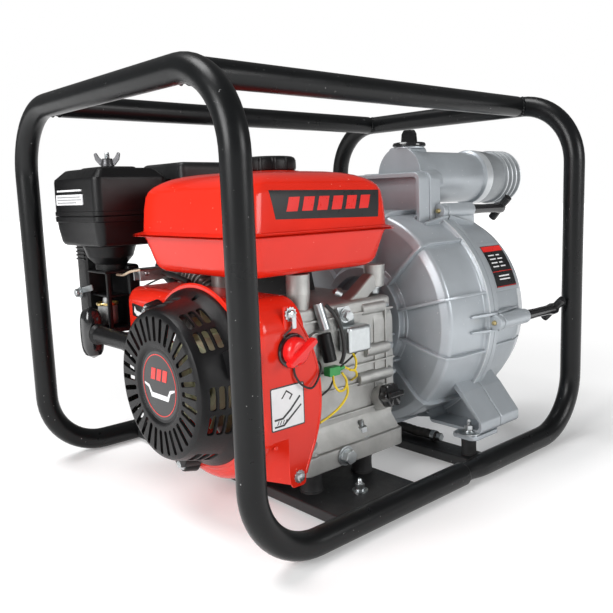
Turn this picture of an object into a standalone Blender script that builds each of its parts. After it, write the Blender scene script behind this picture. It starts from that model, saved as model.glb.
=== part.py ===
"""Portable petrol-engine water pump in a tubular carry frame.

X runs along the crankshaft towards the pump, Y towards the air cleaner side, Z up.
Every size below is in millimetres; the helpers turn them into metres.
"""
import math

import bmesh
import bpy
from mathutils import Matrix, Vector

MM = 0.001
GAP = 0.3

# carry frame
TUBE_R = 13.0
RAIL_Y = 215.5
RAIL_Z = 13.0
TOP_Z = 437.0
HOOP_LEFT_X = -293.5
HOOP_RIGHT_X = 236.5
TOP_RAIL_Y = 137.0
BEND_LOW = 72.0
BEND_HIGH = 77.0
SWAGE_X = -2.0
NECK_R = 10.5
PLATE_TOP = 16.0

# engine
CRANK_Y = -52.0
CRANK_Z = 144.0
TILT = math.radians(25.0)
ENGINE_BASE = 38.0
FLANGE_TOP = 58.0
MOUNT_X = (-153.5, -77.0)
MOUNT_Y = (-131.0, 31.0)
CASE_X = (-172.0, -57.0)
PTO_X = -28.5
SHROUD_X = (-235.0, -173.0)
SHROUD_R = 112.0
SHROUD_NEAR = -150.0
SHROUD_FAR = 104.0
SHROUD_TOP = 228.0
RECOIL_FRONT = -284.0
BORE_X = -115.0
BORE_R = 35.2
THROW = 27.0
ROD_LENGTH = 84.0
DECK = 130.0
CAM_DROP = 52.0
ROPE_X = -266.0
GRIP_Y = 116.0
ROPE_Z = CRANK_Z + 30.0
TANK_BOTTOM = 248.0
CARB_Y = 130.0
LEVER_Y = (107.4, 109.7)

# pump
DRUM_Y = -55.0
DRUM_Z = 172.0
SEAM_X = 90.0
RIM_R = 141.0
LUG_R = 147.0
LUG_ANGLES = (0.0, 64.0, 180.0, 296.0)
PIPE_Y = -57.0
PIPE_Z = 347.0
PORT_Z = 178.0
HANDLE_X = 214.0
FOOT_X = 48.0
FOOT_Y = (-188.0, 78.0)
PRIME_X = 95.5
PRIME_Y = -60.0

parts = None
cutters = None
materials = {}


def clear_scene():
    for obj in list(bpy.data.objects):
        bpy.data.objects.remove(obj, do_unlink=True)


def make_collection(name):
    collection = bpy.data.collections.new(name)
    bpy.context.scene.collection.children.link(collection)
    return collection


def material(name, color, roughness, metallic):
    mat = bpy.data.materials.new(name)
    mat.use_nodes = True
    shader = mat.node_tree.nodes["Principled BSDF"]
    shader.inputs["Base Color"].default_value = (*color, 1.0)
    shader.inputs["Roughness"].default_value = roughness
    shader.inputs["Metallic"].default_value = metallic
    materials[name] = mat


def make_materials():
    material("black_paint", (0.012, 0.013, 0.014), 0.35, 0.1)
    material("black_plastic", (0.015, 0.015, 0.016), 0.45, 0.0)
    material("black_rubber", (0.02, 0.02, 0.022), 0.75, 0.0)
    material("red_paint", (0.75, 0.05, 0.02), 0.18, 0.0)
    material("red_plastic", (0.72, 0.03, 0.02), 0.35, 0.0)
    material("engine_aluminium", (0.42, 0.43, 0.43), 0.42, 0.9)
    material("pump_paint", (0.50, 0.54, 0.57), 0.38, 0.3)
    material("zinc", (0.70, 0.72, 0.72), 0.25, 1.0)
    material("steel", (0.45, 0.45, 0.46), 0.35, 1.0)
    material("cream_plastic", (0.60, 0.60, 0.42), 0.5, 0.0)
    material("white_ceramic", (0.85, 0.85, 0.83), 0.3, 0.0)
    material("foam", (0.05, 0.05, 0.05), 0.9, 0.0)


def at(*xyz):
    return Vector(xyz) * MM


def shade(mesh, angle=35.0):
    mesh.shade_smooth()
    mesh.set_sharp_from_angle(angle=math.radians(angle))


def link(obj, finish):
    """A finish makes the object a part of the pump; None makes it a hidden cutter."""
    if finish is None:
        cutters.objects.link(obj)
        obj.hide_render = True
        obj.display_type = "WIRE"
    else:
        parts.objects.link(obj)
        obj.data.materials.append(materials[finish])
    return obj


def turn_to(direction):
    """Rotation that takes local Z to a direction."""
    return Vector((0, 0, 1)).rotation_difference(Vector(direction).normalized())


def bevel(obj, width, segments=2):
    mod = obj.modifiers.new("Bevel", "BEVEL")
    mod.width = width * MM
    mod.segments = segments
    mod.limit_method = "ANGLE"
    mod.angle_limit = math.radians(40.0)
    return obj


def boolean(obj, tool, operation):
    mod = obj.modifiers.new(operation.title(), "BOOLEAN")
    mod.operation = operation
    mod.object = tool
    return obj


def cut(obj, *tools):
    for tool in tools:
        boolean(obj, tool, "DIFFERENCE")
    return obj


def join(obj, *tools):
    for tool in tools:
        boolean(obj, tool, "UNION")
    return obj


def mesh_object(name, bm, finish):
    mesh = bpy.data.meshes.new(name)
    bm.to_mesh(mesh)
    bm.free()
    shade(mesh)
    return link(bpy.data.objects.new(name, mesh), finish)


def add_box(bm, low, high):
    low, high = at(*low), at(*high)
    place = Matrix.Translation((low + high) / 2) @ Matrix.Diagonal((*(high - low), 1.0))
    bmesh.ops.create_cube(bm, size=1.0, matrix=place)


def add_rod(bm, start, end, radius, segments=16, end_radius=None):
    start, end = at(*start), at(*end)
    place = Matrix.Translation((start + end) / 2) @ turn_to(end - start).to_matrix().to_4x4()
    end_radius = radius if end_radius is None else end_radius
    bmesh.ops.create_cone(bm, cap_ends=True, segments=segments, radius1=radius * MM,
                          radius2=end_radius * MM, depth=(end - start).length, matrix=place)


def box(name, low, high, finish=None):
    bm = bmesh.new()
    add_box(bm, low, high)
    return mesh_object(name, bm, finish)


def boxes(name, corners, finish=None):
    bm = bmesh.new()
    for low, high in corners:
        add_box(bm, low, high)
    return mesh_object(name, bm, finish)


def rod(name, start, end, radius, finish=None, segments=24, end_radius=None):
    bm = bmesh.new()
    add_rod(bm, start, end, radius, segments, end_radius)
    return mesh_object(name, bm, finish)


def rods(name, spans, radius, segments=16):
    bm = bmesh.new()
    for start, end in spans:
        add_rod(bm, start, end, radius, segments)
    return mesh_object(name, bm, None)


def turned(name, profile, origin, direction, finish=None, steps=32, ring=False):
    """Turns (radius, height) points about an axis; a ring's profile closes on itself."""
    mesh = bpy.data.meshes.new(name)
    points = [(radius * MM, 0.0, height * MM) for radius, height in profile]
    edges = [(i, i + 1) for i in range(len(points) - 1)]
    if ring:
        edges.append((len(points) - 1, 0))
    mesh.from_pydata(points, edges, [])
    obj = bpy.data.objects.new(name, mesh)
    obj.location = at(*origin)
    obj.rotation_mode = "QUATERNION"
    obj.rotation_quaternion = turn_to(direction)
    screw = obj.modifiers.new("Screw", "SCREW")
    screw.steps = steps
    screw.render_steps = steps
    screw.use_merge_vertices = True
    screw.merge_threshold = 0.00005
    return link(obj, finish)


def tube_curve(name, points, radius, resolution=2, scale=None):
    curve = bpy.data.curves.new(name, "CURVE")
    curve.dimensions = "3D"
    curve.bevel_depth = radius * MM
    curve.bevel_resolution = resolution
    curve.use_fill_caps = True
    spline = curve.splines.new("POLY")
    spline.points.add(len(points) - 1)
    for index, point in enumerate(points):
        spline.points[index].co = (*at(*point), 1.0)
        spline.points[index].radius = scale[index] if scale else 1.0
    return bpy.data.objects.new(name, curve)


def meshed(curve_obj, finish):
    """Swaps a curve object for a closed mesh of the same name, so that it can be cut."""
    name = curve_obj.name
    bpy.context.scene.collection.objects.link(curve_obj)
    bpy.context.view_layer.update()
    evaluated = curve_obj.evaluated_get(bpy.context.evaluated_depsgraph_get())
    mesh = bpy.data.meshes.new_from_object(evaluated)
    place = curve_obj.matrix_world.copy()
    bpy.data.objects.remove(curve_obj, do_unlink=True)
    bm = bmesh.new()
    bm.from_mesh(mesh)
    bmesh.ops.remove_doubles(bm, verts=bm.verts, dist=0.00001)
    bm.to_mesh(mesh)
    bm.free()
    mesh.materials.clear()
    shade(mesh)
    obj = bpy.data.objects.new(name, mesh)
    obj.matrix_world = place
    return link(obj, finish)


PLANES = {
    "X": Matrix(((0, 0, 1), (1, 0, 0), (0, 1, 0))),
    "Y": Matrix(((1, 0, 0), (0, 0, -1), (0, 1, 0))),
    "Z": Matrix.Identity(3),
}


def prism(name, outline, normal, low, high, finish=None):
    """Extrudes an outline along X, Y or Z; its points are the other two coordinates in order."""
    curve = bpy.data.curves.new(name, "CURVE")
    curve.dimensions = "2D"
    curve.fill_mode = "BOTH"
    curve.extrude = (high - low) * MM / 2
    spline = curve.splines.new("POLY")
    spline.points.add(len(outline) - 1)
    for index, (u, v) in enumerate(outline):
        spline.points[index].co = (u * MM, v * MM, 0.0, 1.0)
    spline.use_cyclic_u = True
    obj = bpy.data.objects.new(name, curve)
    middle = (low + high) * MM / 2
    offset = {"X": (middle, 0, 0), "Y": (0, middle, 0), "Z": (0, 0, middle)}[normal]
    obj.matrix_world = Matrix.Translation(offset) @ PLANES[normal].to_4x4()
    return meshed(obj, finish)


def arc(center, radius, start, stop, steps):
    """Points on an arc, angles in degrees from the first coordinate towards the second."""
    points = []
    for i in range(steps + 1):
        angle = math.radians(start + (stop - start) * i / steps)
        points.append((center[0] + radius * math.cos(angle), center[1] + radius * math.sin(angle)))
    return points


def rounded(low, high, radius, steps=3):
    """Outline of a rectangle with round corners, anticlockwise."""
    corners = (((low[0] + radius, low[1] + radius), 180), ((high[0] - radius, low[1] + radius), 270),
               ((high[0] - radius, high[1] - radius), 0), ((low[0] + radius, high[1] - radius), 90))
    outline = []
    for center, start in corners:
        outline += arc(center, radius, start, start + 90, steps)
    return outline


def lofted(name, sections, finish=None):
    """Closed skin over level round-cornered rectangles: (height, low, high, corner radius)."""
    bm = bmesh.new()
    rings = []
    for height, low, high, radius in sections:
        outline = rounded(low, high, radius)
        rings.append([bm.verts.new(at(u, v, height)) for u, v in outline])
    count = len(rings[0])
    for lower, upper in zip(rings, rings[1:]):
        for i in range(count):
            j = (i + 1) % count
            bm.faces.new((lower[i], lower[j], upper[j], upper[i]))
    bm.faces.new(list(reversed(rings[0])))
    bm.faces.new(rings[-1])
    return mesh_object(name, bm, finish)


def along_bore(distance, rise=0.0, x=BORE_X):
    """Point a distance out from the crank along the cylinder, and a rise square to it."""
    return (x,
            CRANK_Y + distance * math.cos(TILT) - rise * math.sin(TILT),
            CRANK_Z + distance * math.sin(TILT) + rise * math.cos(TILT))


def bore_block(name, start, end, low_x, high_x, half_height, finish=None):
    """Box lined up with the tilted cylinder."""
    bm = bmesh.new()
    size = Vector((high_x - low_x, end - start, 2 * half_height)) * MM
    center = at(*along_bore((start + end) / 2, 0.0, (low_x + high_x) / 2))
    place = Matrix.Translation(center) @ Matrix.Rotation(TILT, 4, "X") @ Matrix.Diagonal((*size, 1.0))
    bmesh.ops.create_cube(bm, size=1.0, matrix=place)
    return mesh_object(name, bm, finish)


def around_drum(angle, radius):
    """(Y, Z) at an angle about the pump drum, from the near side upwards."""
    turn = math.radians(angle)
    return DRUM_Y - radius * math.cos(turn), DRUM_Z + radius * math.sin(turn)


# ---- carry frame

def hoop_path(plane_x, inward):
    """Rail, post, top bar, post and rail of one hoop; inward is the X sign towards the other."""
    bend_x = plane_x + inward * BEND_LOW
    near_turn = [(bend_x - inward * BEND_LOW * math.sin(math.radians(a)), -RAIL_Y,
                  RAIL_Z + BEND_LOW * (1 - math.cos(math.radians(a)))) for a in range(0, 91, 15)]
    near_top = [(plane_x, y, z) for y, z in
                arc((-RAIL_Y + BEND_HIGH, TOP_Z - BEND_HIGH), BEND_HIGH, 180, 90, 6)]
    half = near_turn + near_top
    return half + [(x, -y, z) for x, y, z in reversed(half)]


def build_hoops():
    left = hoop_path(HOOP_LEFT_X, 1)
    ends = [(SWAGE_X, -RAIL_Y, RAIL_Z)], [(SWAGE_X, RAIL_Y, RAIL_Z)]
    link(tube_curve("frame_left_hoop", ends[0] + left + ends[1], TUBE_R, 4), "black_paint")
    right = hoop_path(HOOP_RIGHT_X, -1)
    neck = NECK_R / TUBE_R
    near = [(SWAGE_X + offset, -RAIL_Y, RAIL_Z) for offset in (GAP, 14, 44)]
    far = [(x, -y, z) for x, y, z in reversed(near)]
    scale = [neck, neck, 1.0] + [1.0] * len(right) + [1.0, neck, neck]
    link(tube_curve("frame_right_hoop", near + right + far, TUBE_R, 4, scale), "black_paint")


def build_frame():
    build_hoops()
    reach = TUBE_R + GAP
    for name, side in (("top_rail_near", -1), ("top_rail_far", 1)):
        path = [(HOOP_LEFT_X + reach, side * TOP_RAIL_Y, TOP_Z), (HOOP_RIGHT_X - reach, side * TOP_RAIL_Y, TOP_Z)]
        link(tube_curve(name, path, TUBE_R, 4), "black_paint")
    for name, low, high in (("base_plate", -178.5, -60.5), ("pump_cross_bar", 32.0, 64.0)):
        sheet, lip = 3.0, 12.0
        outline = [(low, PLATE_TOP), (low, PLATE_TOP - lip), (low + sheet, PLATE_TOP - lip),
                   (low + sheet, PLATE_TOP - sheet), (high - sheet, PLATE_TOP - sheet),
                   (high - sheet, PLATE_TOP - lip), (high, PLATE_TOP - lip), (high, PLATE_TOP)]
        prism(name, outline, "Y", -RAIL_Y + TUBE_R + 0.5, RAIL_Y - TUBE_R - 0.5, "black_paint")


def build_mounts():
    """Rubber buffers, each with its stud and nut turned in one."""
    number = 0
    for x in MOUNT_X:
        for y in MOUNT_Y:
            number += 1
            profile = [(0, 74), (4, 74), (4, 67), (7.5, 67), (7.5, FLANGE_TOP + GAP), (4, FLANGE_TOP + GAP),
                       (4, ENGINE_BASE - GAP), (12.5, ENGINE_BASE - GAP), (11.5, 27), (12.5, PLATE_TOP + GAP),
                       (0, PLATE_TOP + GAP)]
            turned(f"engine_mount_{number}", profile, (x, y, 0), (0, 0, 1), "black_rubber", 10)
    for name, y in zip(("pump_mount_near", "pump_mount_far"), FOOT_Y):
        profile = [(0, 54), (4, 54), (4, 49), (7, 49), (7, 44), (9.5, 44), (9.5, 42 + GAP), (4, 42 + GAP),
                   (4, 37 - GAP), (9.5, 37 - GAP), (9.5, PLATE_TOP + GAP), (0, PLATE_TOP + GAP)]
        turned(name, profile, (FOOT_X, y, 0), (0, 0, 1), "black_rubber", 10)


# ---- engine castings

def build_crankcase():
    case = box("crankcase", (CASE_X[0], -128, ENGINE_BASE + 8), (CASE_X[1], 22, 212), "engine_aluminium")
    bevel(case, 6)
    flange = box("case_flange", (CASE_X[0] + 0.5, -146, ENGINE_BASE), (CASE_X[1] - 1.5, 46, FLANGE_TOP))
    barrel = bore_block("case_barrel", 62, DECK, -167, -63, 44)
    left_posts = rods("case_posts", [((-150, -116, 195), (-150, -116, TANK_BOTTOM - GAP)),
                                     ((-150, 22, 195), (-150, 22, TANK_BOTTOM - GAP)),
                                     ((-80, 22, 195), (-80, 22, TANK_BOTTOM - GAP))], 11)
    arm = rod("case_arm", (-84, -112, 202), (-28, -112, 236), 9)
    post = rod("case_arm_post", (-30, -112, 226), (-30, -112, TANK_BOTTOM - GAP), 10.5)
    join(case, flange, barrel, left_posts, arm, post)
    cavity = box("case_cavity", (-166, -118, 50), (CASE_X[1] + 1, 14, 200))
    pockets = rods("case_nut_pockets", [((x, MOUNT_Y[0], FLANGE_TOP), (x, MOUNT_Y[0], 84)) for x in MOUNT_X], 9, 12)
    bore = rod("case_bore", along_bore(40), along_bore(DECK + 1), BORE_R, segments=24)
    crank_hole = rod("case_crank_hole", (-180, CRANK_Y, CRANK_Z), (-160, CRANK_Y, CRANK_Z), 12.9)
    bolt_holes = rods("case_bolt_holes", [((x, y, 30), (x, y, 70)) for x in MOUNT_X for y in MOUNT_Y], 4.8, 10)
    cut(case, cavity, bore, crank_hole, bolt_holes, pockets)


def build_side_cover():
    cover = prism("crankcase_side_cover", rounded((-126, 60), (20, 208), 30), "X", CASE_X[1] + GAP, -38,
                  "engine_aluminium")
    boss = rod("cover_boss", (-42, CRANK_Y, CRANK_Z), (PTO_X, CRANK_Y, CRANK_Z), 62, segments=24)
    neck = rod("cover_filler", (-42, -108, 90), (-42, -139, 98.3), 13.5)
    join(cover, boss, neck)
    cut(cover, rod("cover_crank_hole", (-60, CRANK_Y, CRANK_Z), (-20, CRANK_Y, CRANK_Z), 12.9),
        rod("cover_filler_hole", (-42, -118, 92.7), (-42, -145, 99.9), 6))


def build_head():
    head = bore_block("cylinder_head", DECK + GAP, 168, -167, -63, 44, "engine_aluminium")
    bevel(head, 4)
    cut(head, rod("head_chamber", along_bore(DECK - 1), along_bore(DECK + 9), 30),
        rod("head_plug_hole", along_bore(148, 0, -151), along_bore(170, 0, -151), 6.3))
    cover = bore_block("rocker_cover", 168 + GAP, 192, -136, -64, 34, "engine_aluminium")
    bevel(cover, 7, 3)
    plug = [(0, 52), (3, 52), (3, 44), (5.5, 42), (5.5, 28), (9, 27), (9, 20 + GAP), (6, 20 + GAP), (6, 2), (0, 2)]
    direction = (0, math.cos(TILT), math.sin(TILT))
    turned("spark_plug", plug, along_bore(148, 0, -151), direction, "white_ceramic", 10)
    boot = [(0, 72), (10, 72), (11, 68), (10, 36), (6, 36), (6, 54), (0, 54)]
    turned("spark_plug_cap", boot, along_bore(148, 0, -151), direction, "black_rubber", 10)


def build_crank_train():
    axis = (0, CRANK_Y, CRANK_Z)
    front = [(0, -127), (38, -127), (38, -139), (12.5, -139), (12.5, -250), (0, -250)]
    turned("crankshaft_front", front, axis, (1, 0, 0), "steel", 24)
    rear = [(0, 50), (9.8, 50), (9.8, -28), (12.5, -29), (12.5, -78), (17.1, -78), (17.1, -88), (12.5, -88),
            (12.5, -91), (38, -91), (38, -103), (0, -103)]
    turned("crankshaft_rear", rear, axis, (1, 0, 0), "steel", 20)
    pin_center = along_bore(THROW)[1:]
    rod("crankpin", (-127 + GAP, *pin_center), (-103 - GAP, *pin_center), 15, "steel")
    flywheel = [(12.8, -180), (78, -180), (78, -206), (40, -208), (36, -238), (30, -238), (30, -212), (12.8, -212)]
    turned("flywheel", flywheel, axis, (1, 0, 0), "cream_plastic", 24, ring=True)
    cam = [(0, -58), (7, -58), (7, -78), (34.5, -78), (34.5, -88), (7, -88), (7, -100), (11, -100), (11, -110),
           (7, -110), (7, -122), (11, -122), (11, -132), (7, -132), (7, -165), (0, -165)]
    turned("camshaft", cam, (0, CRANK_Y, CRANK_Z - CAM_DROP), (1, 0, 0), "steel", 12)


def build_piston():
    wrist = THROW + ROD_LENGTH
    piston = rod("piston", along_bore(wrist - 23), along_bore(wrist + 17), BORE_R - 0.4, "engine_aluminium", 24)
    hollow = rod("piston_hollow", along_bore(wrist - 30), along_bore(wrist + 12.6), 29)
    cut(piston, hollow)
    join(piston, rod("piston_pin", along_bore(wrist, 0, BORE_X - 31), along_bore(wrist, 0, BORE_X + 31), 7.5))
    big = rod("connecting_rod", along_bore(THROW, 0, BORE_X - 10), along_bore(THROW, 0, BORE_X + 10), 22,
              "engine_aluminium")
    shank = bore_block("rod_shank", THROW + 16, wrist - 7, BORE_X - 5, BORE_X + 5, 8)
    small = rod("rod_small_end", along_bore(wrist, 0, BORE_X - 9), along_bore(wrist, 0, BORE_X + 9), 12)
    join(big, shank, small)
    cut(big, rod("rod_big_hole", along_bore(THROW, 0, BORE_X - 15), along_bore(THROW, 0, BORE_X + 15), 15.3),
        rod("rod_small_hole", along_bore(wrist, 0, BORE_X - 15), along_bore(wrist, 0, BORE_X + 15), 7.8))


# ---- fan shroud and recoil starter

def shroud_outline(inset):
    """Round bottom about the crank, straight near and far sides, flat top; (Y, Z)."""
    radius = SHROUD_R - inset
    near = SHROUD_NEAR + inset
    far = SHROUD_FAR - inset
    top = SHROUD_TOP - inset
    start = -math.degrees(math.acos((CRANK_Y - near) / radius))
    stop = math.degrees(math.acos((far - CRANK_Y) / radius)) if far - CRANK_Y < radius else 0.0
    bottom = arc((CRANK_Y, CRANK_Z), radius, 180 - start, 360 - stop, 14)
    far_points = arc((far - 14, top - 14), 14, 0, 90, 4)
    near_points = arc((near + 25, top - 25), 25, 90, 180, 5)
    side = [(far, bottom[-1][1] + 8)] if far - CRANK_Y > radius else []
    return bottom + side + far_points + near_points


def build_shroud():
    shroud = prism("fan_shroud", shroud_outline(0), "X", *SHROUD_X, "red_paint")
    cut(shroud, prism("shroud_inside", shroud_outline(1.6), "X", SHROUD_X[0] + 1.6, SHROUD_X[1] + 5),
        rod("shroud_mouth", (SHROUD_X[0] - 9, CRANK_Y, CRANK_Z), (SHROUD_X[0] + 9, CRANK_Y, CRANK_Z), 82, segments=28))
    skirt = arc((-196, 135), 46, -70, 70, 8)
    panel = prism("shroud_panel", [(-186, 78)] + skirt + [(-186, 192)], "Y", SHROUD_NEAR, SHROUD_NEAR + 1.6)
    join(shroud, panel)


def build_recoil():
    profile = [(0, 284), (72, 284), (77, 280.5), (79.5, 272), (86, 247), (91, 241.5), (94, 235.3), (91, 235.3),
               (84, 246), (77, 271), (74.5, 279), (71, 281.5), (0, 281.5)]
    housing = turned("recoil_housing", profile, (0, CRANK_Y, CRANK_Z), (-1, 0, 0), "black_plastic", 28)
    ears = []
    for angle in (19, 139, 259):
        y = CRANK_Y - 97 * math.cos(math.radians(angle))
        z = CRANK_Z + 97 * math.sin(math.radians(angle))
        ears.append(((-251, y, z), (SHROUD_X[0] - GAP, y, z)))
    guide = rod("recoil_guide", (ROPE_X, 8, ROPE_Z), (ROPE_X, GRIP_Y - 2, ROPE_Z), 10, segments=20)
    join(housing, rods("recoil_ears", ears, 9), guide)
    inside = turned("recoil_inside", [(0, 281.5), (71, 281.5), (74.5, 279), (77, 271), (84, 246), (84, 230), (0, 230)],
                    (0, CRANK_Y, CRANK_Z), (-1, 0, 0), None, 28)
    bm = bmesh.new()
    slots = 16
    for index in range(slots):
        turn = Matrix.Rotation(2 * math.pi * index / slots, 4, "X")
        size = at(8, 4.4, 28)
        place = Matrix.Translation(at(-283, CRANK_Y, CRANK_Z)) @ turn @ Matrix.Translation(at(0, 0, 56))
        bmesh.ops.create_cube(bm, size=1.0, matrix=place @ Matrix.Diagonal((*size, 1.0)))
    cut(housing, inside, mesh_object("recoil_slots", bm, None),
        rod("recoil_rope_hole", (ROPE_X, 5, ROPE_Z), (ROPE_X, GRIP_Y, ROPE_Z), 3.2))
    reel = [(0, 279), (40, 279), (40, 272.5), (27.5, 271.5), (27.5, 260.5), (40, 259.5), (40, 256), (0, 256)]
    turned("recoil_reel", reel, (0, CRANK_Y, CRANK_Z), (-1, 0, 0), "black_plastic", 20)
    rod("starter_rope", (ROPE_X, CRANK_Y, ROPE_Z), (ROPE_X, GRIP_Y + 4, ROPE_Z), 2.2, "black_rubber", 10)
    levels = [(-31, 7, 6, 4), (-24, 11, 2, 6), (0, 12, 0, 8), (24, 11, 2, 6), (31, 7, 6, 4)]
    grip = lofted("starter_grip", [(ROPE_Z + rise, (ROPE_X - half, GRIP_Y + inset), (ROPE_X + half, GRIP_Y + 27 - inset), r)
                                   for rise, half, inset, r in levels], "black_plastic")
    cut(grip, rod("grip_rope_hole", (ROPE_X, GRIP_Y - 6, ROPE_Z), (ROPE_X, GRIP_Y + 4 + GAP, ROPE_Z), 2.5, segments=10))


# ---- fuel, air and exhaust

def tank_sections(inset):
    return [
        (TANK_BOTTOM + inset, (-222 + inset, -131 + inset), (-42 - inset, 45 - inset), 20),
        (TANK_BOTTOM + 6 + inset, (-231 + inset, -138 + inset), (-34 - inset, 52 - inset), 22),
        (288, (-238 + inset, -143 + inset), (-28 - inset, 58 - inset), 22),
        (294, (-238 + inset, -143 + inset), (-28 - inset, 58 - inset), 22),
        (334, (-234 + inset, -139 + inset), (-33 - inset, 54 - inset), 24),
        (348 - inset, (-226 + inset, -131 + inset), (-41 - inset, 46 - inset), 26),
        (356 - inset, (-206 + inset, -112 + inset), (-60 - inset, 27 - inset), 28),
    ]


def build_tank():
    tank = lofted("fuel_tank", tank_sections(0), "red_paint")
    flange = prism("tank_flange", rounded((-250, -150), (-16, 66), 26), "Z", 289.5, 292.5)
    join(tank, flange)
    cut(tank, lofted("tank_inside", tank_sections(1.5)), rod("tank_filler", (-120, -40, 345), (-120, -40, 365), 20))
    cap = [(0, 372), (26, 372), (29.5, 369), (29.5, 358), (28, 356 + GAP), (17, 356 + GAP), (17, 346), (0, 346)]
    turned("fuel_cap", cap, (-120, -40, 0), (0, 0, 1), "black_plastic", 24)


def build_air_cleaner():
    low, high = (-275, 75), (-180, 193)
    cover = lofted("air_cleaner_cover", [(312, low, high, 10), (354, low, high, 10),
                                         (366, (-263, 87), (-192, 181), 10)], "black_plastic")
    hollow = lofted("cleaner_hollow", [(311, (-272, 78), (-183, 190), 8), (353, (-272, 78), (-183, 190), 8),
                                       (363, (-261, 89), (-194, 179), 8)])
    cut(cover, hollow, rod("cleaner_stud_hole", (-228, 134, 360), (-228, 134, 370), 3.5))
    base = lofted("air_cleaner_base", [(284, (-268, 82), (-187, 186), 10), (296, low, high, 10),
                                       (312 - GAP, low, high, 10)], "black_plastic")
    elbow = box("cleaner_elbow", (-252, 113, 172), (-203.6, 188, 288))
    join(base, elbow)
    cut(base, box("cleaner_tray", (-271, 79, 299), (-184, 189, 320)),
        rod("cleaner_throat", (-228, 134, 215), (-228, 134, 300), 16),
        rod("cleaner_outlet", (-228, CARB_Y, 190), (-200, CARB_Y, 190), 13),
        box("cleaner_duct", (-245, 119, 182), (-216, 180, 222)))
    join(base, box("cleaner_bridge", (-232, 115, 290), (-224, 153, 299.5)),
         rod("cleaner_stud", (-228, 134, 292), (-228, 134, 386), 3, segments=12))
    element = box("filter_element", (-269, 81, 300), (-186, 187, 350), "foam")
    cut(bevel(element, 4), rod("filter_hole", (-228, 134, 295), (-228, 134, 355), 22))
    nut = turned("wing_nut", [(3.3, 378), (7, 378), (8, 366 + GAP), (3.3, 366 + GAP)], (-228, 134, 0), (0, 0, 1),
                 "zinc", 16, ring=True)
    join(nut, boxes("nut_wings", [((-229.2, 121, 370), (-226.8, 128, 386)), ((-229.2, 140, 370), (-226.8, 147, 386))]))


def build_carburettor():
    """Body, float bowl and the side port that joins it to the cylinder head, with its three levers."""
    body = box("carburettor", (-203.3, CARB_Y - 20, 172), (-180, CARB_Y + 20, 210), "engine_aluminium")
    bevel(body, 3)
    bowl = rod("carb_bowl", (-185.5, CARB_Y, 138), (-185.5, CARB_Y, 174), 17, segments=16)
    port = box("carb_port", (-184, SHROUD_FAR + 1, 176), (-169, CARB_Y + 17, 205))
    plate = box("carb_port_plate", (-172.6, 78, 175), (-167 - GAP, CARB_Y + 18, 206))
    join(body, bowl, port, plate)
    cut(body, rod("carb_bore", (-210, CARB_Y, 190), (-170, CARB_Y, 190), 11),
        box("carb_passage", (-171, 88, 181), (-168.9, CARB_Y + 10, 199)),
        box("carb_head_port", (-170, 86, 182), (-160, 104, 198)))
    lever = prism("choke_lever", [(-200, 188), (-192, 188), (-190, 196), (-206, 214), (-212, 210)], "Y", *LEVER_Y,
                  "steel")
    bevel(lever, 0.8)
    outline = [(x, CARB_Y + y) for x, y in ((-186, -7), (-176, -7), (-176, 7), (-183, 33), (-189, 31))]
    throttle = prism("throttle_lever", outline, "Z", 210.4, 213, "steel")
    bevel(throttle, 0.8)
    valve = prism("fuel_valve_lever", [(-196, 152), (-186, 152), (-184, 158), (-190, 176), (-206, 174)], "Y", *LEVER_Y,
                  "black_plastic")
    bevel(valve, 1)


def build_muffler():
    muffler = box("muffler", (-150, 88, 278), (-48, 166, 356), "steel")
    bevel(muffler, 10, 3)
    path = [(-63 + GAP, 95, 205), (-56, 95, 205), (-50.5, 95, 211), (-50.5, 95, 240), (-52, 100, 285), (-54, 104, 300)]
    join(muffler, meshed(tube_curve("muffler_pipe", path, 9, 4), None))
    guard = box("muffler_guard", (-162, 78, 262), (-36, 176, 373), "black_paint")
    bevel(guard, 8, 3)
    inside = box("guard_inside", (-160, 80, 250), (-38, 174, 371))
    cut(guard, bevel(inside, 6.5, 3))


# ---- small engine fittings

def build_fittings():
    knob = turned("ignition_switch", [(0, 15), (11, 15), (14, 12), (14, GAP), (0, GAP)], (-190, SHROUD_NEAR, 178),
                  (0, -1, 0), "red_plastic", 24)
    join(knob, box("knob_bar", (-208, -171, 174.5), (-172, -160, 181.5)))
    unit = box("oil_alert_unit", (-106, -146, 158), (-72, -128 - GAP, 187), "zinc")
    bevel(unit, 3)
    direction = (0, -math.cos(math.radians(15)), math.sin(math.radians(15)))
    cap = [(0, 15), (11, 15), (13, 12), (13, GAP), (5.5, GAP), (3.5, -18), (0, -18)]
    turned("dipstick", cap, (-42, -139, 98.3), direction, "black_plastic", 16)
    plug = [(0, 8), (7.5, 8), (8.5, 7), (8.5, GAP), (0, GAP)]
    turned("oil_drain_plug", plug, (-117, -146, 49), (0, -1, 0), "zinc", 6)


# ---- pump

def foot_outline(side, inset):
    """Wedge that carries the drum down to one rubber foot; side -1 is the near one."""
    near = [(-205 + inset, 42 + inset), (-205 + inset, 55), (-178 + inset, 87 - inset), (-150 + inset, 112 - inset),
            (-118, 112 - inset), (-128, 42 + inset)]
    if side < 0:
        return list(reversed(near))
    return [(2 * DRUM_Y - y, z) for y, z in near]


def feet(name, low_x, high_x, inset=0.0):
    return [prism(f"{name}_{tag}", foot_outline(side, inset), "X", low_x, high_x)
            for tag, side in (("near", -1), ("far", 1))]


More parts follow.
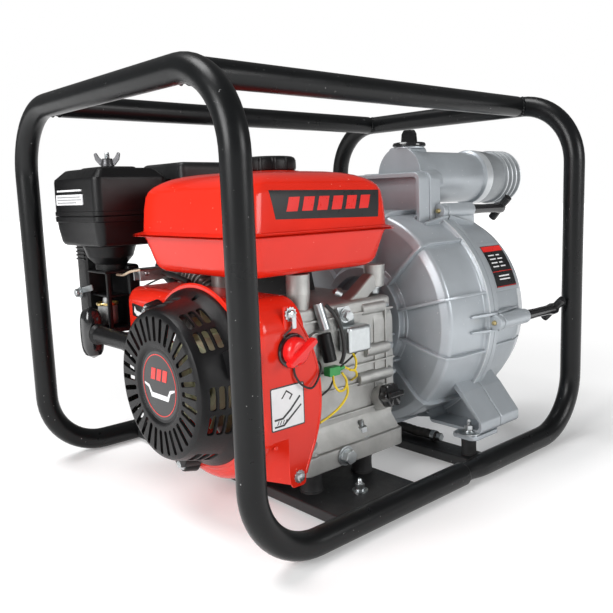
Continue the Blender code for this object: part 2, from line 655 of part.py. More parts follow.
def rib_solids():
    """Radial webs over the back wall, the knee and the belt of the drum."""
    section = [(64, 12), (64, 4), (126, 5), (136, 13), (138.5, 30), (139, 84), (128, 84), (126, 20), (120, 14)]
    bm = bmesh.new()
    half = 2.2
    for index in range(12):
        angle = 15 + 30 * index
        turn = math.radians(angle)
        out = Vector((0, -math.cos(turn), math.sin(turn)))
        side = Vector((0, math.sin(turn), math.cos(turn)))
        center = Vector((0, DRUM_Y, DRUM_Z))
        rings = [[bm.verts.new((center + out * r + side * shift + Vector((x, 0, 0))) * MM) for r, x in section]
                 for shift in (-half, half)]
        count = len(section)
        faces = [bm.faces.new((rings[0][i], rings[0][(i + 1) % count], rings[1][(i + 1) % count], rings[1][i]))
                 for i in range(count)]
        faces += [bm.faces.new(rings[0]), bm.faces.new(rings[1])]
        bmesh.ops.recalc_face_normals(bm, faces=faces)
    return mesh_object("housing_ribs", bm, None)


def lug_spans(low_x, high_x):
    return [((low_x, *around_drum(angle, LUG_R)), (high_x, *around_drum(angle, LUG_R))) for angle in LUG_ANGLES]


def build_back_housing():
    belt = [(0, SEAM_X - GAP), (RIM_R, SEAM_X - GAP), (RIM_R, 80), (135.5, 79), (133, 24), (129, 15), (122, 11), (0, 10)]
    housing = turned("pump_back_housing", belt, (0, DRUM_Y, DRUM_Z), (1, 0, 0), "pump_paint", 32)
    adapter = turned("housing_adapter", [(0, 16), (56, 16), (60, -20), (66, -22), (66, PTO_X + GAP), (0, PTO_X + GAP)],
                     (0, CRANK_Y, CRANK_Z), (1, 0, 0), None, 28)
    window = box("housing_window", (49, -115, 285), (82, 1, 352))
    gable = box("housing_gable", (79.5, -79, 330), (111.7, -41, 386))
    neck = rod("housing_neck", (70, PIPE_Y, PIPE_Z + 3), (112, PIPE_Y, PIPE_Z + 3), 35.5, segments=24)
    join(housing, adapter, rib_solids(), window, neck, gable)
    join(housing, rods("housing_ears", lug_spans(80.5, SEAM_X - GAP), 9, 12), *feet("housing_foot", 58, SEAM_X - GAP))
    join(housing, boxes("housing_soles", [((36, -206, 37), (88, -140, 42)), ((36, 30, 37), (88, 96, 42))]))
    chamber = turned("housing_chamber", [(0, SEAM_X + 1), (127, SEAM_X + 1), (127, 30), (122, 25), (0, 24)],
                     (0, DRUM_Y, DRUM_Z), (1, 0, 0), None, 28)
    bell = rod("housing_bell", (-40, CRANK_Y, CRANK_Z), (8, CRANK_Y, CRANK_Z), 52, segments=28)
    bore = rod("housing_seal_bore", (0, CRANK_Y, CRANK_Z), (30, CRANK_Y, CRANK_Z), 21)
    recess = box("housing_recess", (40, -110, 309), (70, -4, 347))
    passage = box("housing_passage", (74, -82, 285), (86, -32, 340))
    outlet = rod("housing_outlet", (76, PIPE_Y, PIPE_Z + 3), (125, PIPE_Y, PIPE_Z + 3), 29, segments=24)
    filler = rod("housing_filler", (PRIME_X, PRIME_Y, 355), (PRIME_X, PRIME_Y, 395), 14.5)
    under = rod("housing_under", (SEAM_X - GAP, DRUM_Y, DRUM_Z), (125, DRUM_Y, DRUM_Z), RIM_R + GAP + 0.9, segments=32)
    cut(housing, chamber, bell, bore, recess, passage, outlet, filler, under)
    cut(housing, *feet("foot_hollow", 50, 80, 4.5))
    cut(housing, rods("housing_bolt_holes", lug_spans(70, 95), 4.8, 10),
        rods("housing_foot_holes", [((FOOT_X, y, 30), (FOOT_X, y, 50)) for y in FOOT_Y], 4.6, 12))


def build_front_cover():
    shell = [(0, 188), (104, 188), (120, 183), (128, 172), (130, 160), (131.5, 103), (RIM_R, 101), (RIM_R, SEAM_X + GAP),
             (0, SEAM_X + GAP)]
    cover = turned("pump_front_cover", shell, (0, DRUM_Y, DRUM_Z), (1, 0, 0), "pump_paint", 32)
    bm = bmesh.new()
    for angle in LUG_ANGLES:
        y, z = around_drum(angle, 136)
        turn = Matrix.Rotation(math.radians(angle), 4, "X")
        size = at(48, 26, 13)
        place = Matrix.Translation(at(SEAM_X + 25, y, z)) @ turn.inverted()
        bmesh.ops.create_cube(bm, size=1.0, matrix=place @ Matrix.Diagonal((*size, 1.0)))
    webs = mesh_object("cover_webs", bm, None)
    bosses = rods("cover_bosses", lug_spans(SEAM_X + 1.5, 146), 9, 12)
    port = rod("cover_port", (180, DRUM_Y, PORT_Z), (232, DRUM_Y, PORT_Z), 44, segments=28)
    join(cover, webs, bosses, port, *feet("cover_foot", SEAM_X + 2, 130))
    chamber = turned("cover_chamber", [(0, 176), (100, 176), (118, 170), (123, 160), (123, SEAM_X - 5), (0, SEAM_X - 5)],
                     (0, DRUM_Y, DRUM_Z), (1, 0, 0), None, 28)
    cut(cover, chamber, rod("cover_port_bore", (170, DRUM_Y, PORT_Z), (240, DRUM_Y, PORT_Z), 37, segments=28),
        rods("cover_bolt_holes", lug_spans(85, 150), 4.8, 10),
        rod("cover_drain_hole", (170, DRUM_Y, 62), (200, DRUM_Y, 62), 8.5))


def build_discharge():
    pipe = [(37.5, 236), (37.5, 221), (34, 219), (34, 112.5), (29, 112.5), (29, 236)]
    turned("discharge_pipe", pipe, (0, PIPE_Y, PIPE_Z), (1, 0, 0), "pump_paint", 24, ring=True)
    tail = [(37, 306.5)]
    pitch = 11.0
    for index in range(4):
        top = 306.5 - index * pitch
        tail += [(38, top - 2.2), (35, top - pitch)]
    tail += [(36, 258), (36, 236 + GAP), (30, 236 + GAP), (30, 306.5)]
    turned("hose_tail", tail, (0, PIPE_Y, PIPE_Z), (1, 0, 0), "engine_aluminium", 20, ring=True)
    plug = turned("priming_plug", [(0, 392), (18, 392), (21, 390), (21, 386 + GAP), (14, 386 + GAP), (14, 372), (0, 372)],
                  (PRIME_X, PRIME_Y, 0), (0, 0, 1), "black_plastic", 24)
    join(plug, box("plug_grip", (PRIME_X - 3, PRIME_Y - 11, 388), (PRIME_X + 3, PRIME_Y + 11, 408)))


def build_pump_inside():
    axis = (0, CRANK_Y, CRANK_Z)
    impeller = turned("impeller", [(10.1, 52), (16, 52), (20, 36), (70, 33), (70, 28), (10.1, 28)], axis, (1, 0, 0),
                      "steel", 20, ring=True)
    bm = bmesh.new()
    for index in range(4):
        turn = Matrix.Translation(at(*axis)) @ Matrix.Rotation(math.pi / 2 * index, 4, "X")
        place = turn @ Matrix.Translation(at(40, 9, 41)) @ Matrix.Rotation(math.radians(28), 4, "X")
        bmesh.ops.create_cube(bm, size=1.0, matrix=place @ Matrix.Diagonal((*at(19, 5, 54), 1.0)))
    join(impeller, mesh_object("impeller_vanes", bm, None))
    turned("shaft_seal", [(10.4, 24), (20.6, 24), (20.6, 9), (10.4, 9)], axis, (1, 0, 0), "black_rubber", 24, ring=True)
    flap = rod("suction_flap", (171.5, DRUM_Y, PORT_Z), (175.5, DRUM_Y, PORT_Z), 41, "black_rubber", 32)
    join(flap, box("flap_tab", (171.5, DRUM_Y - 14, PORT_Z + 30), (175.5, DRUM_Y + 14, PORT_Z + 50)))
    turned("pump_drain_plug", [(0, 197), (10, 197), (11, 195), (11, 188 + GAP), (8, 188 + GAP), (8, 178), (0, 178)],
           (0, DRUM_Y, 62), (1, 0, 0), "zinc", 6)


def build_handles():
    """T-handled bolts that clamp the front cover; each turns about its own bolt."""
    tilts = (-44, -47, 30, 28)
    for number, (angle, tilt) in enumerate(zip(LUG_ANGLES, tilts), start=1):
        y, z = around_drum(angle, LUG_R)
        profile = [(0, HANDLE_X), (6.5, HANDLE_X), (6.5, 146 + GAP), (4, 146 + GAP), (4, 82), (0, 82)]
        handle = turned(f"t_handle_{number}", profile, (0, y, z), (1, 0, 0), "black_plastic", 10)
        dy = 21 * math.cos(math.radians(tilt))
        dz = 21 * math.sin(math.radians(tilt))
        bar = rod(f"handle_bar_{number}", (HANDLE_X, y - dy, z - dz), (HANDLE_X, y + dy, z + dz), 5.2, segments=10)
        join(handle, bar)


def build_drain_hose():
    path = [(56, -58, 23), (56, -134, 23)]
    hose = meshed(tube_curve("drain_hose", path, 6, 3), "black_rubber")
    join(hose, rod("drain_hose_nut", (56, -130, 23), (56, -141, 23), 4.5, segments=6))


def main():
    global parts, cutters
    clear_scene()
    parts = make_collection("portable_fire_pump")
    cutters = make_collection("cutters")
    make_materials()
    build_frame()
    build_mounts()
    build_crankcase()
    build_side_cover()
    build_head()
    build_crank_train()
    build_piston()
    build_shroud()
    build_recoil()
    build_tank()
    build_air_cleaner()
    build_carburettor()
    build_muffler()
    build_fittings()
    build_back_housing()
    build_front_cover()
    build_discharge()
    build_pump_inside()
    build_handles()
    build_drain_hose()


main()
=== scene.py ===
"""Looks of the portable fire pump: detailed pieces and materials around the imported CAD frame.

The script works in millimetres and multiplies by MM where it makes a mesh.
"""

import math

import bmesh
import bpy
import numpy as np
from mathutils import Matrix, Vector


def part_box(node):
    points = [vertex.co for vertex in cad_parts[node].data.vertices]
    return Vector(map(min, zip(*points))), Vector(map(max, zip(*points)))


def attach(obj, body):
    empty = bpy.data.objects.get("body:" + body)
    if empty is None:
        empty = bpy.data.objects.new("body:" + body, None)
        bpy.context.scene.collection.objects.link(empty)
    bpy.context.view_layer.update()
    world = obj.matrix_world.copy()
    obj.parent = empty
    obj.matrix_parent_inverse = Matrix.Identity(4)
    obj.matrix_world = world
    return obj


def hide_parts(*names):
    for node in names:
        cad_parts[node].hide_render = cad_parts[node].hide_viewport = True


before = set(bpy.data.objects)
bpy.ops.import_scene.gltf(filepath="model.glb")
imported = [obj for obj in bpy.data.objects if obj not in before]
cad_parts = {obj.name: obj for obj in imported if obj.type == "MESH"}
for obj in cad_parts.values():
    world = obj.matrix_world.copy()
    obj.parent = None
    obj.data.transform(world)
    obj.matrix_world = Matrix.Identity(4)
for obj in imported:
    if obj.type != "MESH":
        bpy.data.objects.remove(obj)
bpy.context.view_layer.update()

MM = 0.001
TAU = 2 * math.pi
FINE = 96
ORIGIN, RIGHT, FAR, UP = (0, 0, 0), (1, 0, 0), (0, 1, 0), (0, 0, 1)
LEFT, NEAR, DOWN = (-1, 0, 0), (0, -1, 0), (0, 0, -1)


def corners(node):
    """Lowest and highest corner of a CAD node, in millimetres."""
    low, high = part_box(node)
    return low / MM, high / MM


def middle(node):
    low, high = corners(node)
    return (low + high) / 2


# ---- driving places, read from the frame

LEFT_LOW, LEFT_HIGH = corners("frame_left_hoop")
RIGHT_HIGH = corners("frame_right_hoop")[1]
RAIL_LOW, RAIL_HIGH = corners("top_rail_near")
TUBE_R = (RAIL_HIGH.z - RAIL_LOW.z) / 2
RAIL_Y = LEFT_HIGH.y - TUBE_R
RAIL_Z = LEFT_LOW.z + TUBE_R
TOP_Z = LEFT_HIGH.z - TUBE_R
HOOP_LEFT_X = LEFT_LOW.x + TUBE_R
HOOP_RIGHT_X = RIGHT_HIGH.x - TUBE_R
TOP_RAIL_Y = middle("top_rail_far").y
SWAGE_X = LEFT_HIGH.x
BEND_LOW, BEND_HIGH = 72.0, 77.0
CARB_Y = 130.0
DUCT_LOW, DUCT_HIGH = Vector((-252, 113, 172)), Vector((-203.6, 188, 288))

CRANK = middle("flywheel")
CRANK_Y, CRANK_Z = CRANK.y, CRANK.z
CRANK_AT = (0, CRANK_Y, CRANK_Z)
PLATE_TOP = corners("base_plate")[1].z
CASE_LOW, CASE_HIGH = corners("crankcase")
ENGINE_BASE = CASE_LOW.z
FLANGE_TOP = ENGINE_BASE + 20
DIPSTICK_AXIS = Vector((0, -math.cos(math.radians(15)), math.sin(math.radians(15))))
DIPSTICK_MOUTH = Vector((-42, -139, 98.3))
MOUNT_SPOTS = [(middle(f"engine_mount_{n}").x, middle(f"engine_mount_{n}").y) for n in (1, 2, 3, 4)]
SHROUD_LOW, SHROUD_HIGH = corners("fan_shroud")
TANK_LOW, TANK_HIGH = corners("fuel_tank")
TILT = math.radians(25)
BORE_X = middle("piston").x

DRUM_HIGH = corners("pump_front_cover")[1]
PIPE = middle("hose_tail")
PIPE_AT = (0, PIPE.y, PIPE.z)
PLUG = middle("priming_plug")
HANDLES = [middle(f"t_handle_{n}") for n in (1, 2, 3, 4)]
DRUM_Y = (HANDLES[0].y + HANDLES[2].y) / 2
DRUM_Z = HANDLES[0].z
LUG_R = (HANDLES[2].y - HANDLES[0].y) / 2
LUG_ANGLES = (0.0, 64.0, 180.0, 296.0)
DRUM_AT = (0, DRUM_Y, DRUM_Z)
FEET = [middle("pump_mount_near"), middle("pump_mount_far")]


# ---- materials

materials = {}


def finish(name, color, rough, metal=0.0, coat=0.0, vary=0.12, patch=25.0, rough_vary=0.12, grain=0.0,
           grain_scale=900.0, wave=0.0, wave_scale=60.0, dust_and_shade=0.0, dust_and_shade_color=(0.35, 0.33, 0.3), chips=0.0,
           chip_color=(0.6, 0.6, 0.6), coat_rough=0.08, streak=None, spec=0.5):
    """One procedural surface: patchy colour, uneven roughness, fine grain, soft waves, dust and painted
    shade in corners, and small chips. Scales are in cycles per metre."""
    mat = bpy.data.materials.new(name)
    mat.use_nodes = True
    tree = mat.node_tree
    shader = tree.nodes["Principled BSDF"]
    shader.inputs["Metallic"].default_value = metal
    shader.inputs["Coat Weight"].default_value = coat
    shader.inputs["Coat Roughness"].default_value = coat_rough
    shader.inputs["Specular IOR Level"].default_value = spec
    place = tree.nodes.new("ShaderNodeTexCoord").outputs["Object"]

    def link(a, b):
        tree.links.new(a, b)

    def noise(scale, detail=4.0, coords=None, rough_value=0.6):
        node = tree.nodes.new("ShaderNodeTexNoise")
        node.inputs["Scale"].default_value = scale
        node.inputs["Detail"].default_value = detail
        node.inputs["Roughness"].default_value = rough_value
        link(coords or place, node.inputs["Vector"])
        return node.outputs["Fac"]

    def spread(value, low, high, to_low=0.0, to_high=1.0):
        node = tree.nodes.new("ShaderNodeMapRange")
        node.inputs["From Min"].default_value = low
        node.inputs["From Max"].default_value = high
        node.inputs["To Min"].default_value = to_low
        node.inputs["To Max"].default_value = to_high
        link(value, node.inputs["Value"])
        return node.outputs["Result"]

    def mix(fac, a, b):
        node = tree.nodes.new("ShaderNodeMix")
        node.data_type = "RGBA"
        for socket, value in (("A", a), ("B", b)):
            target = [s for s in node.inputs if s.name == socket and s.type == "RGBA"][0]
            if isinstance(value, tuple):
                target.default_value = (*value, 1.0)
            else:
                link(value, target)
        link(fac, node.inputs["Factor"])
        return [s for s in node.outputs if s.type == "RGBA"][0]

    coords = place
    if streak:
        mapping = tree.nodes.new("ShaderNodeMapping")
        mapping.inputs["Scale"].default_value = streak
        link(place, mapping.inputs["Vector"])
        coords = mapping.outputs["Vector"]
    darker = tuple(c * (1 - vary) for c in color)
    lighter = tuple(min(1.0, c * (1 + vary)) for c in color)
    base = mix(spread(noise(patch, 5.0, coords), 0.3, 0.7), darker, lighter)
    # Dust and painted shade in hollows: an ambient occlusion mask, broken up by noise, blends corners towards the
    # dust colour. On the pale finishes that colour is much darker than the base and paints shade into the
    # hollows; on the black finishes it is lighter, real dust.
    if dust_and_shade:
        hollow = tree.nodes.new("ShaderNodeAmbientOcclusion")
        hollow.inputs["Distance"].default_value = 0.012
        hollow.samples = 4
        shaded = tree.nodes.new("ShaderNodeMath")
        shaded.operation = "MULTIPLY"
        link(spread(hollow.outputs["AO"], 0.75, 0.25, 0.0, dust_and_shade), shaded.inputs[0])
        link(spread(noise(120.0), 0.35, 0.65), shaded.inputs[1])
        base = mix(shaded.outputs["Value"], base, dust_and_shade_color)
    if chips:
        spots = spread(noise(260.0, 2.0), 0.74 - chips, 0.76 - chips)
        base = mix(spots, base, chip_color)
    link(base, shader.inputs["Base Color"])
    rough_field = spread(noise(patch * 3, 4.0, coords), 0.3, 0.7, rough * (1 - rough_vary),
                         rough * (1 + rough_vary))
    link(rough_field, shader.inputs["Roughness"])
    height = None
    for strength, scale, detail in ((grain, grain_scale, 3.0), (wave, wave_scale, 2.0)):
        if strength:
            bump = tree.nodes.new("ShaderNodeBump")
            bump.inputs["Strength"].default_value = strength
            bump.inputs["Distance"].default_value = 0.0006 if scale > 200 else 0.002
            link(noise(scale, detail, coords), bump.inputs["Height"])
            if height is not None:
                link(height, bump.inputs["Normal"])
            height = bump.outputs["Normal"]
    if height is not None:
        link(height, shader.inputs["Normal"])
    materials[name] = mat
    return mat


def make_finishes():
    # Where the dust colour is darker than the base (aluminium, enamels, zinc, fan plastic), the hollows get
    # painted shade; on the black finishes it is real dust.
    finish("satin_black_tube", (0.005, 0.0055, 0.006), 0.30, spec=0.24, coat=0.06, vary=0.25, patch=18,
           grain=0.12, grain_scale=1400, wave=0.05, chips=0.004, chip_color=(0.25, 0.25, 0.25), coat_rough=0.3)
    finish("satin_black_plate", (0.012, 0.013, 0.014), 0.42, vary=0.3, patch=30, grain=0.2, grain_scale=900,
           dust_and_shade=0.5, dust_and_shade_color=(0.05, 0.045, 0.04), chips=0.02, chip_color=(0.2, 0.2, 0.2))
    finish("moulded_black", (0.005, 0.005, 0.0055), 0.33, spec=0.26, vary=0.15, patch=40, grain=0.25,
           grain_scale=1800, dust_and_shade=0.25, dust_and_shade_color=(0.05, 0.05, 0.048))
    finish("gloss_black", (0.010, 0.010, 0.011), 0.16, coat=0.4, vary=0.1, patch=60, wave=0.08, wave_scale=120)
    finish("black_rubber", (0.018, 0.018, 0.019), 0.62, vary=0.2, patch=70, grain=0.3, grain_scale=1500,
           dust_and_shade=0.5, dust_and_shade_color=(0.07, 0.065, 0.06))
    finish("hose_rubber", (0.055, 0.052, 0.048), 0.7, vary=0.35, patch=120, grain=0.6, grain_scale=700)
    finish("red_enamel", (0.74, 0.024, 0.010), 0.2, coat=0.25, spec=0.25, vary=0.05, patch=12, wave=0.05,
           wave_scale=45, chips=0.005, chip_color=(0.95, 0.35, 0.25), coat_rough=0.07)
    finish("red_plastic", (0.80, 0.012, 0.012), 0.3, coat=0.2, vary=0.06, patch=60, grain=0.06,
           grain_scale=1500)
    finish("cast_aluminium", (0.45, 0.45, 0.435), 0.42, metal=0.75, vary=0.12, patch=45, grain=0.5,
           grain_scale=1300, dust_and_shade=0.75, dust_and_shade_color=(0.10, 0.10, 0.095), wave=0.05, wave_scale=150)
    finish("rough_aluminium", (0.40, 0.41, 0.41), 0.5, metal=0.7, vary=0.18, patch=70, grain=0.6,
           grain_scale=900, dust_and_shade=0.8, dust_and_shade_color=(0.07, 0.07, 0.068))
    finish("pump_enamel", (0.42, 0.455, 0.485), 0.34, metal=0.35, coat=0.25, vary=0.05, patch=25, grain=0.22,
           grain_scale=1600, dust_and_shade=0.35, dust_and_shade_color=(0.16, 0.15, 0.14), chips=0.012,
           chip_color=(0.75, 0.75, 0.74), coat_rough=0.25)
    # A lighter copy of the pump enamel for the rim edge, the tail's crests and a band on the outlet pipe: painted
    # highlight.
    finish("pump_edge_highlight", (0.66, 0.69, 0.71), 0.32, metal=0.35, vary=0.06, patch=60, grain=0.15, grain_scale=1600)
    finish("tail_enamel", (0.30, 0.32, 0.335), 0.42, metal=0.3, vary=0.12, patch=35, grain=0.3,
           grain_scale=1400, dust_and_shade=0.6, dust_and_shade_color=(0.12, 0.11, 0.10))
    finish("zinc_plate", (0.56, 0.59, 0.60), 0.32, metal=1.0, vary=0.08, patch=110, grain=0.03,
           grain_scale=2500, rough_vary=0.15, dust_and_shade=0.4, dust_and_shade_color=(0.16, 0.15, 0.14))
    finish("yellow_zinc", (0.62, 0.50, 0.25), 0.3, metal=1.0, vary=0.25, patch=260, rough_vary=0.3)
    finish("brass", (0.72, 0.55, 0.24), 0.28, metal=1.0, vary=0.15, patch=150, rough_vary=0.3)
    finish("bare_steel", (0.50, 0.50, 0.50), 0.32, metal=1.0, vary=0.15, patch=90, rough_vary=0.3, grain=0.15,
           grain_scale=2200, streak=(1.0, 6.0, 1.0))
    finish("dark_steel", (0.10, 0.10, 0.105), 0.4, metal=0.8, vary=0.3, patch=110, rough_vary=0.3, grain=0.2)
    finish("heat_steel", (0.24, 0.21, 0.19), 0.5, metal=0.8, vary=0.3, patch=60, rough_vary=0.25, grain=0.3)
    finish("fan_plastic", (0.62, 0.62, 0.42), 0.5, vary=0.12, patch=60, grain=0.2, dust_and_shade=0.4)
    finish("white_ceramic", (0.85, 0.85, 0.83), 0.25, coat=0.5, vary=0.04, patch=60)
    finish("foam", (0.05, 0.05, 0.052), 0.9, vary=0.5, patch=500, grain=1.0, grain_scale=600)
    finish("sticker_black", (0.012, 0.012, 0.013), 0.3, coat=0.2, vary=0.1, patch=40)
    finish("sticker_white", (0.80, 0.80, 0.81), 0.4, coat=0.1, vary=0.04, patch=60)
    finish("sticker_grey", (0.30, 0.30, 0.31), 0.4, vary=0.1, patch=60)
    finish("sticker_tan", (0.62, 0.50, 0.36), 0.5, vary=0.1, patch=60)
    finish("sticker_red", (0.75, 0.02, 0.015), 0.3, coat=0.2, vary=0.06, patch=60)
    finish("wire_yellow", (0.85, 0.62, 0.02), 0.4, vary=0.08, patch=100)
    finish("wire_black", (0.015, 0.015, 0.015), 0.4, vary=0.15, patch=100)
    finish("connector_green", (0.03, 0.30, 0.07), 0.4, vary=0.12, patch=100)


# ---- outlines

def arc(center, radius, start, stop, steps):
    """Points on an arc, angles in degrees from the first coordinate towards the second."""
    points = []
    for i in range(steps + 1):
        angle = math.radians(start + (stop - start) * i / steps)
        points.append((center[0] + radius * math.cos(angle), center[1] + radius * math.sin(angle)))
    return points


def filleted(points, radius, closed=True, steps=5):
    """Rounds the corners of a polyline in 2D or 3D."""
    plain = [Vector(p) for p in points]
    out = []
    count = len(plain)
    for i, point in enumerate(plain):
        if not closed and i in (0, count - 1):
            out.append(point)
            continue
        before, after = plain[i - 1], plain[(i + 1) % count]
        a, b = (before - point), (after - point)
        room = min(a.length, b.length) * 0.49
        if a.length < 1e-6 or b.length < 1e-6:
            continue
        a.normalize()
        b.normalize()
        half = math.acos(max(-1.0, min(1.0, a.dot(b)))) / 2
        if half > math.radians(88):
            out.append(point)
            continue
        reach = min(radius / math.tan(half), room)
        real = reach * math.tan(half)
        bisector = (a + b).normalized()
        center = point + bisector * (real / math.sin(half))
        start, stop = point + a * reach - center, point + b * reach - center
        total = start.angle(stop)
        for k in range(steps + 1):
            t = k / steps
            if total < 1e-6:
                out.append(center + start)
                break
            spin = (start * math.sin((1 - t) * total) + stop * math.sin(t * total)) / math.sin(total)
            out.append(center + spin)
    return [tuple(p) for p in out]


def rounded(low, high, radius, steps=8):
    """Outline of a rectangle with round corners, anticlockwise."""
    places = (((low[0] + radius, low[1] + radius), 180), ((high[0] - radius, low[1] + radius), 270),
              ((high[0] - radius, high[1] - radius), 0), ((low[0] + radius, high[1] - radius), 90))
    outline = []
    for center, start in places:
        outline += arc(center, radius, start, start + 90, steps)
    return outline


def smooth_path(points, steps=8):
    """Catmull-Rom curve through given points."""
    spots = [Vector(p) for p in points]
    spots = [spots[0] * 2 - spots[1]] + spots + [spots[-1] * 2 - spots[-2]]
    out = []
    for i in range(1, len(spots) - 2):
        a, b, c, d = spots[i - 1:i + 3]
        for k in range(steps):
            t = k / steps
            square = (2 * a - 5 * b + 4 * c - d) * t * t
            out.append(0.5 * (2 * b + (c - a) * t + square + (3 * b - a - 3 * c + d) * t ** 3))
    out.append(spots[-2])
    return out


# ---- solids, each a bmesh in metres

def faced_out(bm):
    """Turns every face outwards."""
    bmesh.ops.recalc_face_normals(bm, faces=bm.faces)
    return bm


def softened(bm, width, segments=2, sharpness=28.0):
    """Bevels the edges that are sharper than an angle."""
    edges = [e for e in bm.edges if len(e.link_faces) == 2 and e.calc_face_angle(0.0) > math.radians(sharpness)]
    bmesh.ops.bevel(bm, geom=edges, offset=width * MM, segments=segments, profile=0.6, affect="EDGES",
                    clamp_overlap=True)
    return bm


def block(low, high, width=0.0, segments=2):
    bm = bmesh.new()
    low, high = Vector(low), Vector(high)
    size = (high - low) * MM
    center = (high + low) * MM / 2
    bmesh.ops.create_cube(bm, size=1.0, matrix=Matrix.Translation(center) @ Matrix.Diagonal((*size, 1.0)))
    return softened(bm, width, segments) if width else bm


def quad(low_x, high_x, near, far, z):
    """Corners of a level rectangle, for lofts."""
    return [(low_x, near, z), (high_x, near, z), (high_x, far, z), (low_x, far, z)]


def turn_to(direction):
    return Vector(UP).rotation_difference(Vector(direction).normalized())


def turned(profile, origin, direction, steps=FINE, ring=False):
    """Turns (radius, height) points about an axis; points on the axis close the shape."""
    bm = bmesh.new()
    place = Matrix.Translation(Vector(origin)) @ turn_to(direction).to_matrix().to_4x4()
    rings = []
    for radius, height in profile:
        if radius < 1e-6:
            rings.append([bm.verts.new(place @ Vector((0, 0, height)) * MM)])
            continue
        rings.append([bm.verts.new(place @ Vector((radius * math.cos(TAU * i / steps),
                                                   radius * math.sin(TAU * i / steps), height)) * MM)
                      for i in range(steps)])
    pairs = list(zip(rings, rings[1:]))
    if ring:
        pairs.append((rings[-1], rings[0]))
    for a, b in pairs:
        for i in range(steps):
            j = (i + 1) % steps
            if len(a) == 1 and len(b) == 1:
                continue
            if len(a) == 1:
                bm.faces.new((a[0], b[i], b[j]))
            elif len(b) == 1:
                bm.faces.new((a[i], b[0], a[j]))
            else:
                bm.faces.new((a[i], b[i], b[j], a[j]))
    return faced_out(bm)


def rod(start, end, radius, end_radius=None, sides=32, round_off=0.0):
    """Cylinder or cone between two points, with rounded rims."""
    start, end = Vector(start), Vector(end)
    length = (end - start).length
    end_radius = radius if end_radius is None else end_radius
    profile = [(0, 0), (radius, 0), (end_radius, length), (0, length)]
    if round_off:
        flat = filleted(profile, round_off, closed=False, steps=3)
        profile = [(max(0.0, p[0]), p[1]) for p in flat]
    return turned(profile, start, end - start, sides)


AXES = {"X": (FAR, UP, RIGHT), "Y": (RIGHT, UP, FAR),
        "Z": (RIGHT, FAR, UP)}


def prism(outline, normal, low, high, width=0.0, segments=2):
    """Extrudes an outline along X, Y or Z; its points are the other two coordinates in order."""
    first, second, along = (Vector(v) for v in AXES[normal])
    bm = bmesh.new()
    rings = [[bm.verts.new((first * p[0] + second * p[1] + along * level) * MM) for p in outline]
             for level in (low, high)]
    count = len(outline)
    bm.faces.new(rings[0])
    bm.faces.new(rings[1])
    for i in range(count):
        j = (i + 1) % count
        bm.faces.new((rings[0][i], rings[0][j], rings[1][j], rings[1][i]))
    faced_out(bm)
    return softened(bm, width, segments) if width else bm


def loft(rings, capped=True):
    """Skin over closed loops of 3D points with equal counts."""
    bm = bmesh.new()
    loops = [[bm.verts.new(Vector(p) * MM) for p in loop] for loop in rings]
    count = len(loops[0])
    for a, b in zip(loops, loops[1:]):
        for i in range(count):
            j = (i + 1) % count
            bm.faces.new((a[i], a[j], b[j], b[i]))
    if capped:
        bm.faces.new(loops[0])
        bm.faces.new(loops[-1])
    return faced_out(bm)


def level_loft(sections, steps=8):
    """Skin over level round-cornered rectangles: (height, low, high, corner radius)."""
    return loft([[(u, v, height) for u, v in rounded(low, high, radius, steps)] for height, low, high,
                 radius in sections])


def tube(points, radius, sides=20, capped=True):
    """Round tube along a path; radius is one number or one per point."""
    spots = [Vector(p) for p in points]
    radii = radius if isinstance(radius, (list, tuple)) else [radius] * len(spots)
    bm = bmesh.new()
    tangent = (spots[1] - spots[0]).normalized()
    side = tangent.orthogonal().normalized()
    rings = []
    for i, spot in enumerate(spots):
        ahead = spots[min(i + 1, len(spots) - 1)] - spots[max(i - 1, 0)]
        if ahead.length > 1e-9:
            turn = tangent.rotation_difference(ahead.normalized())
            side = (turn @ side).normalized()
            tangent = ahead.normalized()
        other = tangent.cross(side)
        ring = []
        for k in range(sides):
            outward = side * math.cos(TAU * k / sides) + other * math.sin(TAU * k / sides)
            ring.append(bm.verts.new((spot + outward * radii[i]) * MM))
        rings.append(ring)
    for a, b in zip(rings, rings[1:]):
        for k in range(sides):
            j = (k + 1) % sides
            bm.faces.new((a[k], a[j], b[j], b[k]))
    if capped:
        bm.faces.new(rings[0])
        bm.faces.new(rings[-1])
    return faced_out(bm)


def grown(bm, matrix):
    """The same solid moved by a matrix in millimetres."""
    scaled = Matrix.Scale(MM, 4) @ matrix @ Matrix.Scale(1 / MM, 4)
    bmesh.ops.transform(bm, matrix=scaled, verts=bm.verts)
    return bm


def about_x(degrees, y, z):
    center = Matrix.Translation((0, y, z))
    return center @ Matrix.Rotation(math.radians(degrees), 4, "X") @ center.inverted()


def about_crank(degrees):
    return about_x(degrees, CRANK_Y, CRANK_Z)


# ---- pieces


def blank(name, parts):
    """A new object of several solids, which are freed."""
    bm = bmesh.new()
    for part in parts:
        mesh = bpy.data.meshes.new("part")
        part.to_mesh(mesh)
        part.free()
        bm.from_mesh(mesh)
        bpy.data.meshes.remove(mesh)
    mesh = bpy.data.meshes.new(name)
    bm.to_mesh(mesh)
    bm.free()
    obj = bpy.data.objects.new(name, mesh)
    bpy.context.scene.collection.objects.link(obj)
    return obj


def shade(obj, angle):
    obj.data.polygons.foreach_set("use_smooth", [True] * len(obj.data.polygons))
    obj.data.set_sharp_from_angle(angle=math.radians(angle))


